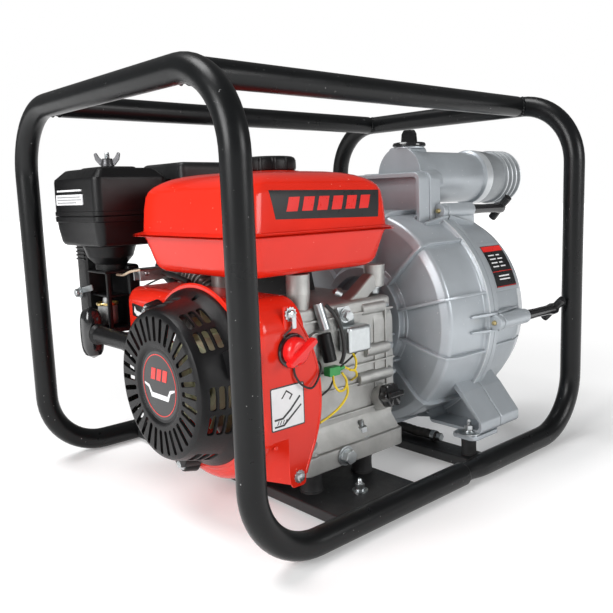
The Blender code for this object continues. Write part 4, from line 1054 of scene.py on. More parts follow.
def build_air_cleaner():
    low, high = corners("air_cleaner_cover")
    base_low, base_high = corners("air_cleaner_base")
    stud = middle("wing_nut")

    def rings(levels, radius=10):
        return [(z, (low.x + i, low.y + i), (high.x - i, high.y - i), max(2.0, radius - i * 0.3)) for z,
                i in levels]

    seam = low.z
    cover = level_loft(rings([(seam, 0.6), (seam + 0.8, 0), (seam + 5, 0), (seam + 5.6, 0.8), (352, 1.0),
                              (355, 1.6), (363.6, 10.4), (365.4, 12.6), (366, 15)]))
    pad = level_loft([(365.6, (low.x + 24, low.y + 26), (high.x - 24, high.y - 26), 12),
                      (367.6, (low.x + 25, low.y + 27), (high.x - 25, high.y - 27), 11),
                      (368.2, (low.x + 27, low.y + 29), (high.x - 27, high.y - 29), 9)])
    piece("cleaner_lid", [cover, pad], "moulded_black", replaces="air_cleaner_cover")
    tray = level_loft(rings([(277, 9), (278.5, 6.4), (282, 4.6), (297, 2.2), (304.6, 1.6), (305.6, 0),
                             (311.0, 0), (311.7, 0.6)]))
    near, far, front, back = DUCT_LOW.y, DUCT_HIGH.y, DUCT_LOW.x, DUCT_HIGH.x
    foot = base_low.z
    wall = block((front, far - 27, foot), (back, far, 282), 5, 3)
    duct = block((front + 32, near + 5, foot), (back, far - 20, 252), 5, 3)
    shelf = [block((front, near, foot), (back, far - 10, foot + 6), 2.4, 2),
             block((front + 1, near + 1, 243), (back, far - 20, 246.4), 1.4, 2),
             block((front + 6, near + 6, 214), (back, far - 20, 216.6), 1.0, 2)]
    funnel = turned(filleted([(0, 282), (31, 282), (31, 274), (27, 262), (19, 253), (19, 244), (0, 244)], 2),
                    (-229, 142, 0), UP, 72)
    ribs = [block((front - 1.4, far - 25, z), (front + 3, far - 2, z + 2), 0.8)
            for z in (258, 262.5, 267, 271.5, 276)]
    ribs += [block((front + 4, near + 4, foot + 2), (front + 9, near + 9, 244), 1.6, 2)]
    piece("cleaner_tray", [tray, wall, duct, funnel] + shelf + ribs, "moulded_black",
          replaces="air_cleaner_base")
    horn = turned(filleted([(0, 180), (10, 180), (11.5, 186), (11.5, 204), (0, 204)], 1.0), (-240, 137, 0), UP,
                  48)
    arm = prism(filleted([(146, 222), (190, 214), (191, 220), (148, 229)], 1.5, steps=3), "X", front - 1.6,
                front - 0.2, 0.5)
    piece("intake_horn", [horn, rod((-240, 137, 203), (-240, 137, 213), 6, 5, 32, 0.8)], "rough_aluminium")
    piece("intake_ring", [turned([(11, 204), (13.0, 204), (13.4, 205.6), (13.0, 207.2), (11, 207.2)],
                                 (-240, 137, 0), UP, 56, ring=True)], "brass")
    piece("choke_link", [arm] + bolt((front - 1.6, far - 8, 217), LEFT, 9, 4, 7), "zinc_plate")
    profile = [(0, 300)]
    level = 300.0
    while level < base_high.z - 2:
        profile += [(3.0, level), (2.55, level + 0.5)]
        level += 1.0
    profile += [(2.2, base_high.z), (0, base_high.z)]
    piece("cleaner_stud", [turned(profile, (stud.x, stud.y, 0), UP, 20)], "zinc_plate")
    hub = turned([(3.3, 368.6), (7.6, 368.6), (7.8, 370.5), (6.4, 377), (5.6, 378.6), (3.3, 378.6)],
                 (stud.x, stud.y, 0), UP, 40, ring=True)
    wings = []
    for side in (-1, 1):
        outline = filleted([(side * 4, 370), (side * 9, 370.6), (side * 14.4, 377), (side * 16, 384),
                            (side * 13.4, 386.4), (side * 9.6, 380), (side * 6, 377)], 2.0, steps=4)
        wing = prism(outline, "X", -1.3, 1.3, 0.8, 2)
        turn = Matrix.Rotation(math.radians(43), 4, "Z")
        wings.append(grown(wing, Matrix.Translation((stud.x, stud.y, 0)) @ turn))
    piece("cleaner_wing_nut", [hub] + wings, "dark_steel", "wing_nut_body", replaces="wing_nut")
    plate = [prism(rounded((low.y + 32, 325), (high.y - 14, 337), 1), "X", low.x - 0.15, low.x + 1.2)]
    piece("cleaner_label", plate, "sticker_white")
    lines = [prism(rounded((high.y - 18 - w, z), (high.y - 18, z + 1.3), 0.3), "X", low.x - 0.3, low.x - 0.1)
             for z, w in ((333.4, 62), (330.2, 66), (327, 52))]
    piece("cleaner_label_lines", lines, "sticker_grey")
    strip = [prism(rounded((low.y + 34, 340.5), (high.y - 18, 342.6), 0.4), "X", low.x - 0.25, low.x + 1.2)]
    piece("cleaner_label_strip", strip, "sticker_white")


def build_carburettor():
    y = CARB_Y
    body = block((-203.3, y - 19, 174), (-180, y + 19, 209), 4, 3)
    flange = [prism(rounded((78, 175), (y + 18, 206), 9), "X", -172.6, -167.3, 0.8),
              block((-184, 105.5, 177), (-171, y + 16, 204), 3, 2)]
    bowl = turned([(0, 138.3), (6, 138.3), (7, 140.5), (14.6, 142.5), (16.6, 146), (17, 166), (18.4, 166.5),
                   (18.4, 169), (17, 169.4), (17, 174), (0, 174)], (-185.5, y, 0), UP, 56)
    tower = [rod((-195, y - 13, 205), (-195, y - 13, 214), 4.4, 4, 24, 0.6)]
    piece("carburettor_body", [body, bowl] + flange + tower, "rough_aluminium", replaces="carburettor")
    drain = grown(softened(prism(hexagon(8), "Z", 134.6, 139), 0.4), Matrix.Translation((-185.5, y, 0)))
    piece("carburettor_brass", [drain], "brass")
    spring = [(-205 + 2.6 * math.cos(TAU * k / 12), 96 + k * 0.24, 241 + 2.6 * math.sin(TAU * k / 12))
              for k in range(100)]
    rods = [tube(smooth_path([(-188, y + 28, 214.6), (-170, 118, 232), (-140, 100, 234), (-112, 66, 226),
                              (-96, 60, 224)], 6), 1.1, 10), tube(spring, 0.5, 8)]
    piece("governor_link", rods, "bare_steel")
    clip = tube(smooth_path([(-214, 98, 246), (-222, 108, 244), (-226, 118, 240), (-232, 124, 241)], 6), 1.6,
                10)
    piece("governor_clip", [clip], "sticker_tan")
    channel = filleted([(100, 232), (100, 247), (117, 247), (117, 232)], 3.5, closed=False, steps=5)
    inner = filleted([(102, 232), (102, 245), (115, 245), (115, 232)], 2.0, closed=False, steps=5)
    piece("control_bracket", [prism(channel + list(reversed(inner)), "X", -214, -150, 0.3, 1)], "zinc_plate")
    build_levers()


def upright_lever(name, material, outline, centre, radius):
    """A lever in the plane of the engine's near side, on its own spindle."""
    low, high = corners(f"{name}_lever")
    x, z = centre
    spindle = rod((x, high.y, z), (x, low.y - 2, z), radius, radius - 0.6, 24, 0.5)
    blade = prism(filleted(outline, 3.5, steps=5), "Y", low.y, high.y, 0.5)
    piece(f"{name}_arm", [blade, spindle], material, f"{name}_lever_body",
          replaces=f"{name}_lever")


def build_levers():
    outline = [(-200, 186), (-191, 187), (-190, 197), (-205, 215), (-213, 211)]
    upright_lever("choke", "zinc_plate", outline, (-196, 192), 4.0)
    low, high = corners("throttle_lever")
    y = CARB_Y
    outline = [(x, y + reach) for x, reach in ((-186, -7), (-176, -7), (-176, 7), (-183, 33), (-189, 31))]
    spindle = rod((-181, y, low.z - 0.2), (-181, y, high.z + 2.4), 4, 3.4, 24, 0.5)
    piece("throttle_arm", [prism(filleted(outline, 3.5), "Z", low.z, high.z, 0.5), spindle], "zinc_plate",
          "throttle_lever_body", replaces="throttle_lever")
    outline = [(-196, 151), (-185, 152), (-183, 159), (-190, 177), (-207, 174)]
    upright_lever("fuel_valve", "moulded_black", outline, (-190, 156), 4.4)


def build_muffler():
    low, high = corners("muffler_guard")
    inside = block((low.x + 2, low.y + 2, low.z - 12), (high.x - 2, high.y - 2, high.z - 2), 7, 4)
    cuts = []
    for row in range(5):
        for column in range(3):
            x = low.x + 22 + column * 30
            z = low.z + 24 + row * 15
            cuts.append(prism(rounded((x, z), (x + 22, z + 5), 2.4, 4), "Y", high.y - 6, high.y + 4))
    for row in range(5):
        z = low.z + 24 + row * 15
        for y in (low.y + 20, low.y + 55):
            cuts.append(prism(rounded((y, z), (y + 24, z + 5), 2.4, 4), "X", low.x - 4, low.x + 5))
            cuts.append(prism(rounded((y, z), (y + 24, z + 5), 2.4, 4), "X", high.x - 5, high.x + 4))
    for row in range(4):
        for x in (low.x + 20, low.x + 68):
            y = low.y + 18 + row * 18
            cuts.append(prism(rounded((x, y), (x + 38, y + 6), 2.8, 4), "Z", high.z - 5, high.z + 4))
    guard = carved([block(low, high, 9, 4)], [inside], cuts)
    piece("exhaust_guard", [guard], "satin_black_plate", replaces="muffler_guard")
    a, b = Vector((-150, 88, 278)), Vector((-48, 166, 356))
    drum = block(a, b, 14, 5)
    seam = prism(rounded((a.x - 1.4, a.z - 1.4), (b.x + 1.4, b.z + 1.4), 15), "Y", (a.y + b.y) / 2 - 1,
                 (a.y + b.y) / 2 + 1, 0.4)
    pipe = tube(smooth_path([(-62.7, 95, 205), (-56, 95, 206), (-50.5, 95, 216), (-50.5, 95, 240),
                             (-52, 100, 285), (-54, 104, 300)], 8), 9, 32)
    ports = [prism(rounded((74, 190), (116, 220), 8), "X", -63.5, -58.5, 0.8)]
    piece("exhaust_box", [drum, seam, pipe] + ports, "heat_steel", replaces="muffler")
    outlet = [turned([(6, 0), (8, 0), (8, 13), (6, 13)], (-118, 160, 300), FAR, 32, ring=True)]
    piece("exhaust_outlet", outlet, "heat_steel")
    bolts = bolt((low.x + 14, high.y - 0.3, high.z - 12), FAR, 8, 4,
                 6) + bolt((high.x - 14, high.y - 0.3, high.z - 12), FAR, 8, 4, 6)
    piece("guard_bolts", bolts, "zinc_plate")


# ---- small engine fittings

def build_switch():
    x, z = middle("ignition_switch").x, 178.0
    near = SHROUD_LOW.y
    base = turned([(0, 0.2), (17.5, 0.2), (17.5, 2.2), (16.6, 3.4), (0, 3.4)], (x, near, z), NEAR, 56)
    piece("switch_base", [base], "gloss_black")
    knob = turned([(0, 15), (9, 15), (11.4, 14.2), (13.2, 12), (14, 9), (14, 3.5), (0, 3.5)], (x, near, z),
                  NEAR, 56)
    tilt = math.radians(32)
    along = Vector((math.cos(tilt), 0, math.sin(tilt)))
    across = Vector((-math.sin(tilt), 0, math.cos(tilt)))
    outline = [(-20, -3.0), (-20, 3.0), (-12, 3.6), (12, 3.6), (20, 3.0), (20, -3.0), (12, -3.6), (-12, -3.6)]
    rings = []
    for out, shrink in ((13, 1.0), (19.4, 0.98), (20.6, 0.90)):
        flat = shrink if out < 20 else 0.7
        rings.append([Vector((x, near - out, z)) + along * a * shrink + across * b * flat
                      for a, b in filleted(outline, 1.6, steps=3)])
    piece("stop_switch_knob", [knob, loft(rings)], "red_plastic", "ignition_switch_body",
          replaces="ignition_switch")
    wire = smooth_path([(x + 1, near - 1, z - 17), (x + 1.5, near - 3, z - 26), (x + 8, near - 5, z - 36),
                        (x + 20, near - 6, z - 41), (x + 31, near - 4, z - 33), (x + 37, near - 1, z - 24),
                        (x + 42, near + 8, z - 20)], 8)
    piece("switch_wire", [tube(wire, 1.15, 12)], "wire_black")
    ground = [(x + 1, near - 4, z + 32), (x - 0.5, near - 3, z + 25), (x - 2, near - 2.4, z + 21),
              (x - 10, near - 2.6, z + 17), (x - 11, near - 2.6, z + 15), (x - 5, near - 2.2, z + 11),
              (x - 3, near - 2, z + 8)]
    ground = filleted(ground, 1.5, closed=False, steps=3)
    piece("ground_wire", [tube(ground, 0.9, 10)], "wire_black")
    lug = [prism(rounded((x - 1.6, z + 22), (x + 3.4, z + 34), 1.5), "Y", near - 5, near - 3.8, 0.3)]
    piece("ground_lug", lug, "zinc_plate")


def build_stickers():
    near = SHROUD_LOW.y
    low, high = Vector((-219, 100.5)), Vector((-176, 144.5))
    piece("care_sticker_border", [prism(rounded(low, high, 2.0, 3), "Y", near - 0.2, near + 0.4)],
          "sticker_black")
    rim = Vector((1.4, 1.4))
    piece("care_sticker", [prism(rounded(low + rim, high - rim, 1.2, 3), "Y", near - 0.35, near - 0.2)],
          "sticker_white")
    bars = [[(-215, 111), (-204, 111), (-194, 118), (-181, 130), (-182.5, 131.5), (-195, 120), (-205, 113),
             (-215, 113)], [(-215, 104), (-203, 104), (-180, 121), (-181, 122.4), (-204, 105.8), (-215, 105.8)],
            [(-206, 132), (-199, 140), (-191, 134), (-195, 129), (-196, 130.4), (-193, 134), (-199, 138),
             (-204, 132)]]
    hatch = [[(-212 + k * 3.4, 106.5), (-211 + k * 3.4, 106.5), (-209 + k * 3.4, 110.4),
              (-210 + k * 3.4, 110.4)] for k in range(4)]
    marks = [prism(outline, "Y", near - 0.5, near - 0.35) for outline in bars + hatch]
    piece("care_sticker_marks", marks, "sticker_black")
    face = SHROUD_LOW.x
    low, high = corners("fan_shroud")
    tag = [(high.y - 20, high.z - 18), (high.y - 52, high.z - 21), (high.y - 52, high.z - 36),
           (high.y - 20, high.z - 33)]
    piece("shroud_tag", [prism(filleted(tag, 1.0, steps=2), "X", face - 0.2, face + 0.3)], "sticker_black")
    arrow = [(high.y - 26, high.z - 21), (high.y - 30, high.z - 26), (high.y - 48, high.z - 29),
             (high.y - 48, high.z - 33), (high.y - 30, high.z - 32), (high.y - 24, high.z - 28)]
    piece("shroud_tag_mark", [prism(arrow, "X", face - 0.35, face - 0.2)], "sticker_white")


def build_near_side_fittings():
    low, high = corners("oil_alert_unit")
    box = block(low, high, 4, 4)
    flange = [prism(rounded((low.x - 1, high.z - 5), (high.x + 1, high.z - 1), 1), "Y", low.y + 2, high.y, 0.5)]
    piece("oil_alert_box", [box] + flange, "zinc_plate", replaces="oil_alert_unit")
    strap = loft([quad(-106, -84, -132, -129.6, 184), quad(-110, -90, -138, -135.6, 196),
                  quad(-116, -98, -138, -135.6, 210)])
    strap = softened(strap, 0.8, 2)
    piece("oil_alert_bracket", [strap] + bolt((-104, -138, 200), NEAR, 10, 5, 8), "zinc_plate")
    coil = [rod((-132, -134, 184), (-130, -141, 154), 7.6, 7.2, 40, 1.5)]
    piece("ignition_module", coil, "moulded_black")
    plug = [block((-136, -146, 139), (-120, -136, 149), 1.5, 2),
            rod((-119, -141, 144), (-112, -143, 146), 2.6, 2.2, 20, 0.5)]
    piece("wire_connector", plug, "connector_green")
    yellow = ([(-113, -143, 146), (-106, -146, 142), (-99, -147, 139), (-93, -142, 132), (-90, -133, 126),
               (-88, -128.5, 124)],
              [(-96, -140, 158), (-97, -146, 150), (-101, -148, 142), (-108, -147, 142)],
              [(-130, -144, 141), (-133, -149, 132), (-128, -151, 124), (-119, -150, 124), (-114, -148, 132),
               (-118, -145, 141)],
              [(-114, -147, 134), (-114, -149, 118), (-124, -148, 106), (-138, -146, 98), (-152, -146, 94)])
    piece("yellow_wires", [tube(smooth_path(route, 8), 1.3, 12) for route in yellow], "wire_yellow")
    harness = [(-128, -134, 214), (-122, -140, 204), (-116, -143, 190), (-113, -144, 174), (-114, -145, 160),
               (-118, -144, 150)]
    black = ([(-118, -143, 147), (-108, -142, 150), (-98, -141, 154), (-90, -140, 158)],
             [(-150, -146, 122), (-140, -148, 128), (-132, -147, 136)])
    strands = [tube(smooth_path(harness, 8), 2.2, 14)] + [tube(smooth_path(route, 6), 1.1, 10) for route in black]
    piece("engine_harness", strands, "wire_black")
    sleeve = [rod((-136, -130, 216), (-131, -136, 188), 5.5, 5.5, 28, 0.6),
              rod((-112, -131, 226), (-104, -132, 222), 3.4, 3.4, 20, 0.5)]
    piece("harness_clamp", sleeve, "zinc_plate")
    mouth = DIPSTICK_MOUTH
    cap = turned([(0, 12), (11.5, 12), (13, 11), (13.4, 3), (12.6, 0.3), (5.5, 0.3), (3.5, -18), (0, -18)],
                 mouth, DIPSTICK_AXIS, 96)
    turn = turn_to(DIPSTICK_AXIS)
    for vert in cap.verts:
        local = turn.inverted() @ (vert.co / MM - mouth)
        flat = Vector((local.x, local.y))
        if flat.length > 10 and local.z > 0.2:
            angle = math.atan2(flat.y, flat.x)
            scale = 1 + 0.10 * math.cos(6 * angle)
            local = Vector((local.x * scale, local.y * scale, local.z))
            vert.co = (mouth + turn @ local) * MM
    handle = grown(block((-11.5, -3.4, 11), (11.5, 3.4, 18.5), 2.2, 3),
                   Matrix.Translation(mouth) @ turn.to_matrix().to_4x4())
    piece("dipstick_cap", [cap, handle], "gloss_black", "dipstick_body", replaces="dipstick")
    spot = middle("oil_drain_plug")
    piece("drain_bolt", bolt((spot.x, corners("oil_drain_plug")[1].y - 0.2, spot.z), NEAR, 14, 7, 11),
          "zinc_plate", replaces="oil_drain_plug")


# ---- pump

def on_drum(angle, radius, x):
    turn = math.radians(angle)
    return Vector((x, DRUM_Y - radius * math.cos(turn), DRUM_Z + radius * math.sin(turn)))


def drum_frame(angle):
    """Outward and sideways directions at an angle about the drum."""
    turn = math.radians(angle)
    return Vector((0, -math.cos(turn), math.sin(turn))), Vector((0, math.sin(turn), math.cos(turn)))


def web(angle, section, thin):
    """A radial web: (radius, X) points on the spine."""
    out, side = drum_frame(angle)
    center = Vector(DRUM_AT)
    bm = bmesh.new()
    rings = [[bm.verts.new((center + out * r + side * shift + Vector((x, 0, 0))) * MM) for r, x in section]
             for shift in (-thin, thin)]
    count = len(section)
    for i in range(count):
        j = (i + 1) % count
        bm.faces.new((rings[0][i], rings[0][j], rings[1][j], rings[1][i]))
    bm.faces.new(rings[0])
    bm.faces.new(rings[1])
    faced_out(bm)
    return softened(bm, 0.9, 2)


def foot_points(side, inset):
    near = [(-205 + inset, 42 + inset), (-205 + inset, 56), (-178 + inset, 88 - inset),
            (-150 + inset, 114 - inset), (-116, 114 - inset), (-127, 42 + inset)]
    if side < 0:
        return near
    return [(2 * DRUM_Y - y, z) for y, z in near]


def build_back_housing():
    belt = filleted([(62, 12), (122, 10.6), (133, 15.5), (135.3, 79.2), (141, 80), (141, 89.7)], 6.5,
                    closed=False, steps=8)
    shell = turned([(0, 12)] + belt + [(127, 89.7), (127, 30), (120, 24), (0, 24)], DRUM_AT, RIGHT, 144)
    adapter = turned([(52, 16), (56, 16), (60, -20), (66, -22), (66, -28.2), (52, -28.2)], CRANK_AT, RIGHT, 96,
                     ring=True)
    hub = turned(filleted([(54, 18), (54, 2), (66, 2), (67, 10), (72, 11), (72, 18)], 1.5), DRUM_AT, RIGHT, 96,
                 ring=True)
    spine = [(64, 16), (64, 2.5), (100, 3.4), (124, 4.6), (134, 9), (138.2, 22), (139.2, 34), (139.6, 84),
             (130, 84), (128, 22), (118, 16)]
    ribs = [web(15 + 30 * k, spine, 1.7) for k in range(12)]
    adapter_ribs = [grown(block((-24, CRANK_Y + 57, CRANK_Z - 1.6), (12, CRANK_Y + 64, CRANK_Z + 1.6), 0.8),
                          about_crank(15 + 30 * k)) for k in range(12)]
    box_low, box_high = Vector((49, -115, 285)), Vector((82, 1, 352))
    chest = carved([prism(rounded((box_low.y, box_low.z), (box_high.y, box_high.z), 9), "X", box_low.x, 90, 1.2,
                          3)], [prism(rounded((box_low.y + 4.6, box_low.z - 20),
                                              (box_high.y - 4.6, box_high.z - 5), 6), "X", 40, 71)])
    lip = prism(rounded((box_low.y - 1.5, 262), (box_high.y + 1.5, box_high.z + 1.5), 9), "X", 68, 72, 1.0)
    gable_outline = filleted([(PIPE.y - 48, 330), (PIPE.y - 44, 350), (PIPE.y - 20, 366), (PIPE.y - 19, 386),
                              (PIPE.y + 19, 386), (PIPE.y + 20, 366), (PIPE.y + 44, 350), (PIPE.y + 48, 330)],
                             7, steps=6)
    gable = prism(gable_outline, "X", 79.5, 111.7, 1.5, 3)
    neck = rod((78, PIPE.y, PIPE.z + 3), (112, PIPE.y, PIPE.z + 3), 36.5, 35.2, 80, 1.0)
    ears, gussets, pins = [], [], []
    for angle in LUG_ANGLES:
        center = on_drum(angle, LUG_R, 0)
        ears.append(rod(center + Vector((80.5, 0, 0)), center + Vector((89.7, 0, 0)), 9.2, 9.2, 40, 1.4))
        for shift in (-10, 10):
            spread = math.degrees(shift / LUG_R)
            gussets.append(web(angle + spread, [(134, 50), (137.5, 50), (146, 84), (146, 89.5), (134, 89.5)],
                               1.5))
        pins += moved([rod(ORIGIN, (0, 0, 3.4), 3.2, 2.4, 24, 0.5)], center + Vector((80.5, 0, 0)), LEFT)
    feet = []
    for side, spot in zip((-1, 1), FEET):
        outline, recess = foot_points(side, 0), foot_points(side, 4.2)
        wedge = carved([prism(filleted(outline, 5, steps=4), "X", 50, 89.7, 1.4, 3)],
                       [prism(filleted(recess, 4, steps=4), "X", 40, 83)])
        feet += [wedge, prism(rounded((36, spot.y - 17), (88, spot.y + 18), 8), "Z", 37, 42, 1.0)]
        feet.append(web(180 if side > 0 else 0, [(120, 70), (125, 70), (125, 71), (120, 71)], 0.5))
    seat = rod((PLUG.x, PLUG.y, 384), (PLUG.x, PLUG.y, 386.2), 19.5, 19.5, 48, 0.6)
    piece("pump_body_casting", [shell, adapter, hub, chest, lip, gable, neck, seat] + ribs + adapter_ribs + ears
          + gussets + feet, "pump_enamel", replaces="pump_back_housing", angle=30)
    piece("clamp_bolt_ends", pins, "yellow_zinc")
    # A thin lighter ring on the flange corner of the rim: painted highlight.
    rim = turned([(139.4, 80.4), (141.15, 80.6), (141.15, 81.6), (139.4, 81.6)], DRUM_AT, RIGHT, 144, ring=True)
    piece("rim_highlight", [rim], "pump_edge_highlight")


def build_front_cover():
    shell = filleted([(141, 90.3), (141, 101), (131.6, 102.4), (130.4, 158), (121, 182), (104, 188), (44, 188)],
                     7, closed=False, steps=8)
    cover = turned([(0, 100), (128, 100), (128, 90.3)] + shell + [(0, 188)], DRUM_AT, RIGHT, 144)
    port_z = 178.0
    end = DRUM_HIGH.x
    port = turned(filleted([(37, 180), (50, 186), (44, 198), (44, end - 12), (46, end - 11), (46, end - 1.5),
                            (44, end), (37, end)], 1.6), (0, DRUM_Y, port_z), RIGHT, 96, ring=True)
    throat = rod((176, DRUM_Y, port_z), (end + 1, DRUM_Y, port_z), 37, 37, 96)
    bosses, webs = [], []
    for angle in LUG_ANGLES:
        center = on_drum(angle, LUG_R, 0)
        bosses.append(rod(center + Vector((90.3, 0, 0)), center + Vector((146, 0, 0)), 9.4, 9.0, 40, 1.6))
        webs.append(web(angle, [(118, 91), (148, 91), (146, 146), (124, 160)], 7.5))
        for shift in (-10.5, 10.5):
            spread = math.degrees(shift / LUG_R)
            webs.append(web(angle + spread, [(128, 91), (147, 91), (144, 104), (133, 150), (126, 150)], 1.5))
    ribs = [web(15 + 30 * k, [(128, 100), (134.5, 100), (133.6, 150), (128, 168), (112, 186), (100, 191),
                              (62, 191), (62, 186)], 1.6) for k in range(12) if k not in (0, 1, 4)]
    pad_angles = [14 + 28 * k / 10 for k in range(11)]
    pad = loft([[on_drum(a, 134.2, x) for a in pad_angles] + [on_drum(a, 128, x) for a in reversed(pad_angles)]
                for x in (106, 158)])
    softened(pad, 1.6, 3)
    feet = []
    for side in (-1, 1):
        outline = filleted(foot_points(side, 0), 5, steps=4)
        feet.append(prism(outline, "X", 90.3, 130, 3.0, 4))
    drain = [rod((186, DRUM_Y, 62), (191, DRUM_Y, 62), 15, 14, 48, 1.0)]
    piece("pump_cover_casting", [carved([cover], [throat]), port, pad] + bosses + webs + ribs + feet + drain,
          "pump_enamel", replaces="pump_front_cover", angle=30)
    build_pump_label()
    spot = middle("pump_drain_plug")
    piece("pump_drain_bolt", bolt((188.2, spot.y, spot.z), RIGHT, 16, 7, 12), "zinc_plate",
          replaces="pump_drain_plug")
    flap_low, flap_high = corners("suction_flap")
    flap = turned([(0, flap_low.x), (33, flap_low.x), (40.5, flap_low.x + 0.6), (40.8, flap_high.x - 0.6),
                   (40, flap_high.x), (24, flap_high.x), (23, flap_high.x + 1.0), (0, flap_high.x + 1.4)],
                  (0, DRUM_Y, port_z), RIGHT, 72)
    tab = block((flap_low.x, DRUM_Y - 14, port_z + 30), (flap_high.x, DRUM_Y + 14, port_z + 50), 0.8)
    piece("check_flap", [flap, tab], "black_rubber", "suction_flap_body", replaces="suction_flap")


def curved_patch(angles, x_span, radius, thick=0.2):
    low = [on_drum(a, radius, x_span[0]) for a in angles]
    high = [on_drum(a, radius, x_span[1]) for a in angles]
    back_low = [on_drum(a, radius + thick, x_span[0]) for a in angles]
    back_high = [on_drum(a, radius + thick, x_span[1]) for a in angles]
    bm = bmesh.new()
    grid = [[bm.verts.new(Vector(p) * MM) for p in row] for row in (low, high, back_high, back_low)]
    for r in range(4):
        a, b = grid[r], grid[(r + 1) % 4]
        for k in range(len(angles) - 1):
            bm.faces.new((a[k], a[k + 1], b[k + 1], b[k]))
    bm.faces.new([grid[r][0] for r in range(4)])
    bm.faces.new([grid[r][-1] for r in range(4)])
    return faced_out(bm)


def spread(start, stop, count):
    return [start + (stop - start) * k / (count - 1) for k in range(count)]


def build_pump_label():
    piece("pump_label", [curved_patch(spread(16, 40, 14), (112, 154), 134.3)], "sticker_black")
    piece("pump_label_red", [curved_patch(spread(36.4, 39.6, 5), (112.6, 153.4), 134.55),
                             curved_patch(spread(24.4, 24.7, 2), (112.6, 153.4), 134.55),
                             curved_patch(spread(16.2, 16.5, 2), (112.6, 153.4), 134.55)], "sticker_red")
    rows = []
    for k in range(4):
        angle = 33.6 - k * 2.2
        for span in ((118, 130), (134, 141 + 3 * (k % 2))):
            rows.append(curved_patch(spread(angle, angle + 0.7, 2), span, 134.55))
    for angle in (21.6, 19.8):
        rows.append(curved_patch(spread(angle, angle + 0.7, 2), (122, 144), 134.55))
    piece("pump_label_lines", rows, "sticker_white")


def build_discharge():
    low, high = corners("discharge_pipe")
    pipe = filleted([(34, low.x), (34, 218), (37.5, 220.5), (37.5, high.x), (29, high.x), (29, low.x)], 0.8,
                    steps=3)
    piece("outlet_pipe", [turned(pipe, PIPE_AT, RIGHT, 96, ring=True)], "pump_enamel",
          replaces="discharge_pipe")
    start, end = corners("hose_tail")[0].x, corners("hose_tail")[1].x
    profile = [(30, start), (37.2, start), (37.4, start + 3), (36.6, start + 16), (35.8, start + 22)]
    pitch = 10.6
    crest = end - 4 * pitch
    while crest < end - 1:
        profile += [(34.8, crest + 0.6), (34.6, crest + 5.4), (37.2, crest + 7.2), (37.6, crest + 8.6),
                    (36.9, crest + 9.8)]
        crest += pitch
    profile += [(36.2, end), (30, end)]
    piece("ribbed_tail", [turned([p for p in profile if p[1] <= end], PIPE_AT, RIGHT, 112, ring=True)],
          "tail_enamel", replaces="hose_tail")
    # Thin lighter rings on the tail's crests and a band on the pipe: painted highlight.
    edges = []
    crest = end - 4 * pitch
    while crest < end - 1:
        edges.append(turned([(37.55, crest + 7.6), (37.95, crest + 8.2), (37.95, crest + 8.9),
                             (37.4, crest + 9.5)], PIPE_AT, RIGHT, 112, ring=True))
        crest += pitch
    edges.append(turned([(37.45, 221.4), (37.8, 222), (37.8, 235), (37.45, 235.6)], PIPE_AT, RIGHT, 112,
                        ring=True))
    piece("tail_crest_highlights", edges, "pump_edge_highlight")
    disc = [(0, 392), (17, 392), (20, 391.4), (21.3, 389.6), (21.3, 387.4), (20.4, 386.4), (14, 386.4),
            (14, 372), (0, 372)]
    grip = prism(filleted([(-12, 390), (-10.5, 403), (-7, 408), (7, 408), (10.5, 403), (12, 390)], 3, steps=4),
                 "X", PLUG.x - 3.2, PLUG.x + 3.2, 1.2, 3)
    grown(grip, Matrix.Translation((0, PLUG.y, 0)))
    piece("filler_plug", [turned(disc, (PLUG.x, PLUG.y, 0), UP, 64), grip], "gloss_black", "priming_plug_body",
          replaces="priming_plug")


def build_handles():
    tilts = (-44, -47, 30, 28)
    for number, (angle, tilt) in enumerate(zip(LUG_ANGLES, tilts), start=1):
        center = on_drum(angle, LUG_R, 0)
        end = 214.0
        sleeve = [(0, 219.2), (5.8, 218.8), (7.4, 216), (7.6, 208), (6.2, 200), (6.0, 170), (6.6, 150),
                  (6.6, 146.3), (4, 146.3), (4, 82), (0, 82)]
        stem = turned(sleeve, (0, center.y, center.z), RIGHT, 40)
        along = Vector((0, math.cos(math.radians(tilt)), math.sin(math.radians(tilt))))
        spots = [Vector((end, center.y, center.z)) + along * s for s in spread(-21, 21, 21)]
        radii = []
        for s in spread(-1, 1, 21):
            full = 5.6 - 0.9 * (1 - abs(s)) ** 2
            radii.append(full * math.sqrt(max(0.06, 1 - max(0.0, (abs(s) - 0.86) / 0.14) ** 2)))
        bar = tube(spots, radii, 32)
        piece(f"clamp_handle_{number}", [stem, bar], "gloss_black", f"t_handle_{number}_body",
              replaces=f"t_handle_{number}")


def build_drain_hose():
    path = smooth_path([(56, corners("drain_hose")[1].y, 23), (56, -80, 23.4), (56, -100, 22.6),
                        (56, -118, 23.2), (56, -134, 23)], 8)
    radii = [6.0 + 0.25 * math.sin(i * 1.9) for i in range(len(path))]
    piece("drain_tube", [tube(path, radii, 24)], "hose_rubber", replaces="drain_hose")
    clamp = [turned([(6.1, 0), (6.9, 0.4), (6.9, 5.6), (6.1, 6)], (56, -132, 23), FAR, 40, ring=True)]
    plug = moved([softened(prism(hexagon(9), "Z", 0, 6), 0.5)], (56, -134.6, 23), NEAR)
    piece("drain_tube_plug", clamp + plug, "zinc_plate")


def dress_inner_nodes():
    """CAD nodes whose shape is right, mostly inside the machine, keep it and take a detailed surface."""
    looks = {"crankshaft_front": "bare_steel", "crankshaft_rear": "bare_steel", "crankpin": "bare_steel",
             "camshaft": "dark_steel", "connecting_rod": "cast_aluminium", "piston": "cast_aluminium",
             "impeller": "dark_steel", "shaft_seal": "black_rubber", "filter_element": "foam"}
    for node, material in looks.items():
        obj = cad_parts[node]
        obj.data.materials.clear()
        obj.data.materials.append(materials[material])


# ---- studio

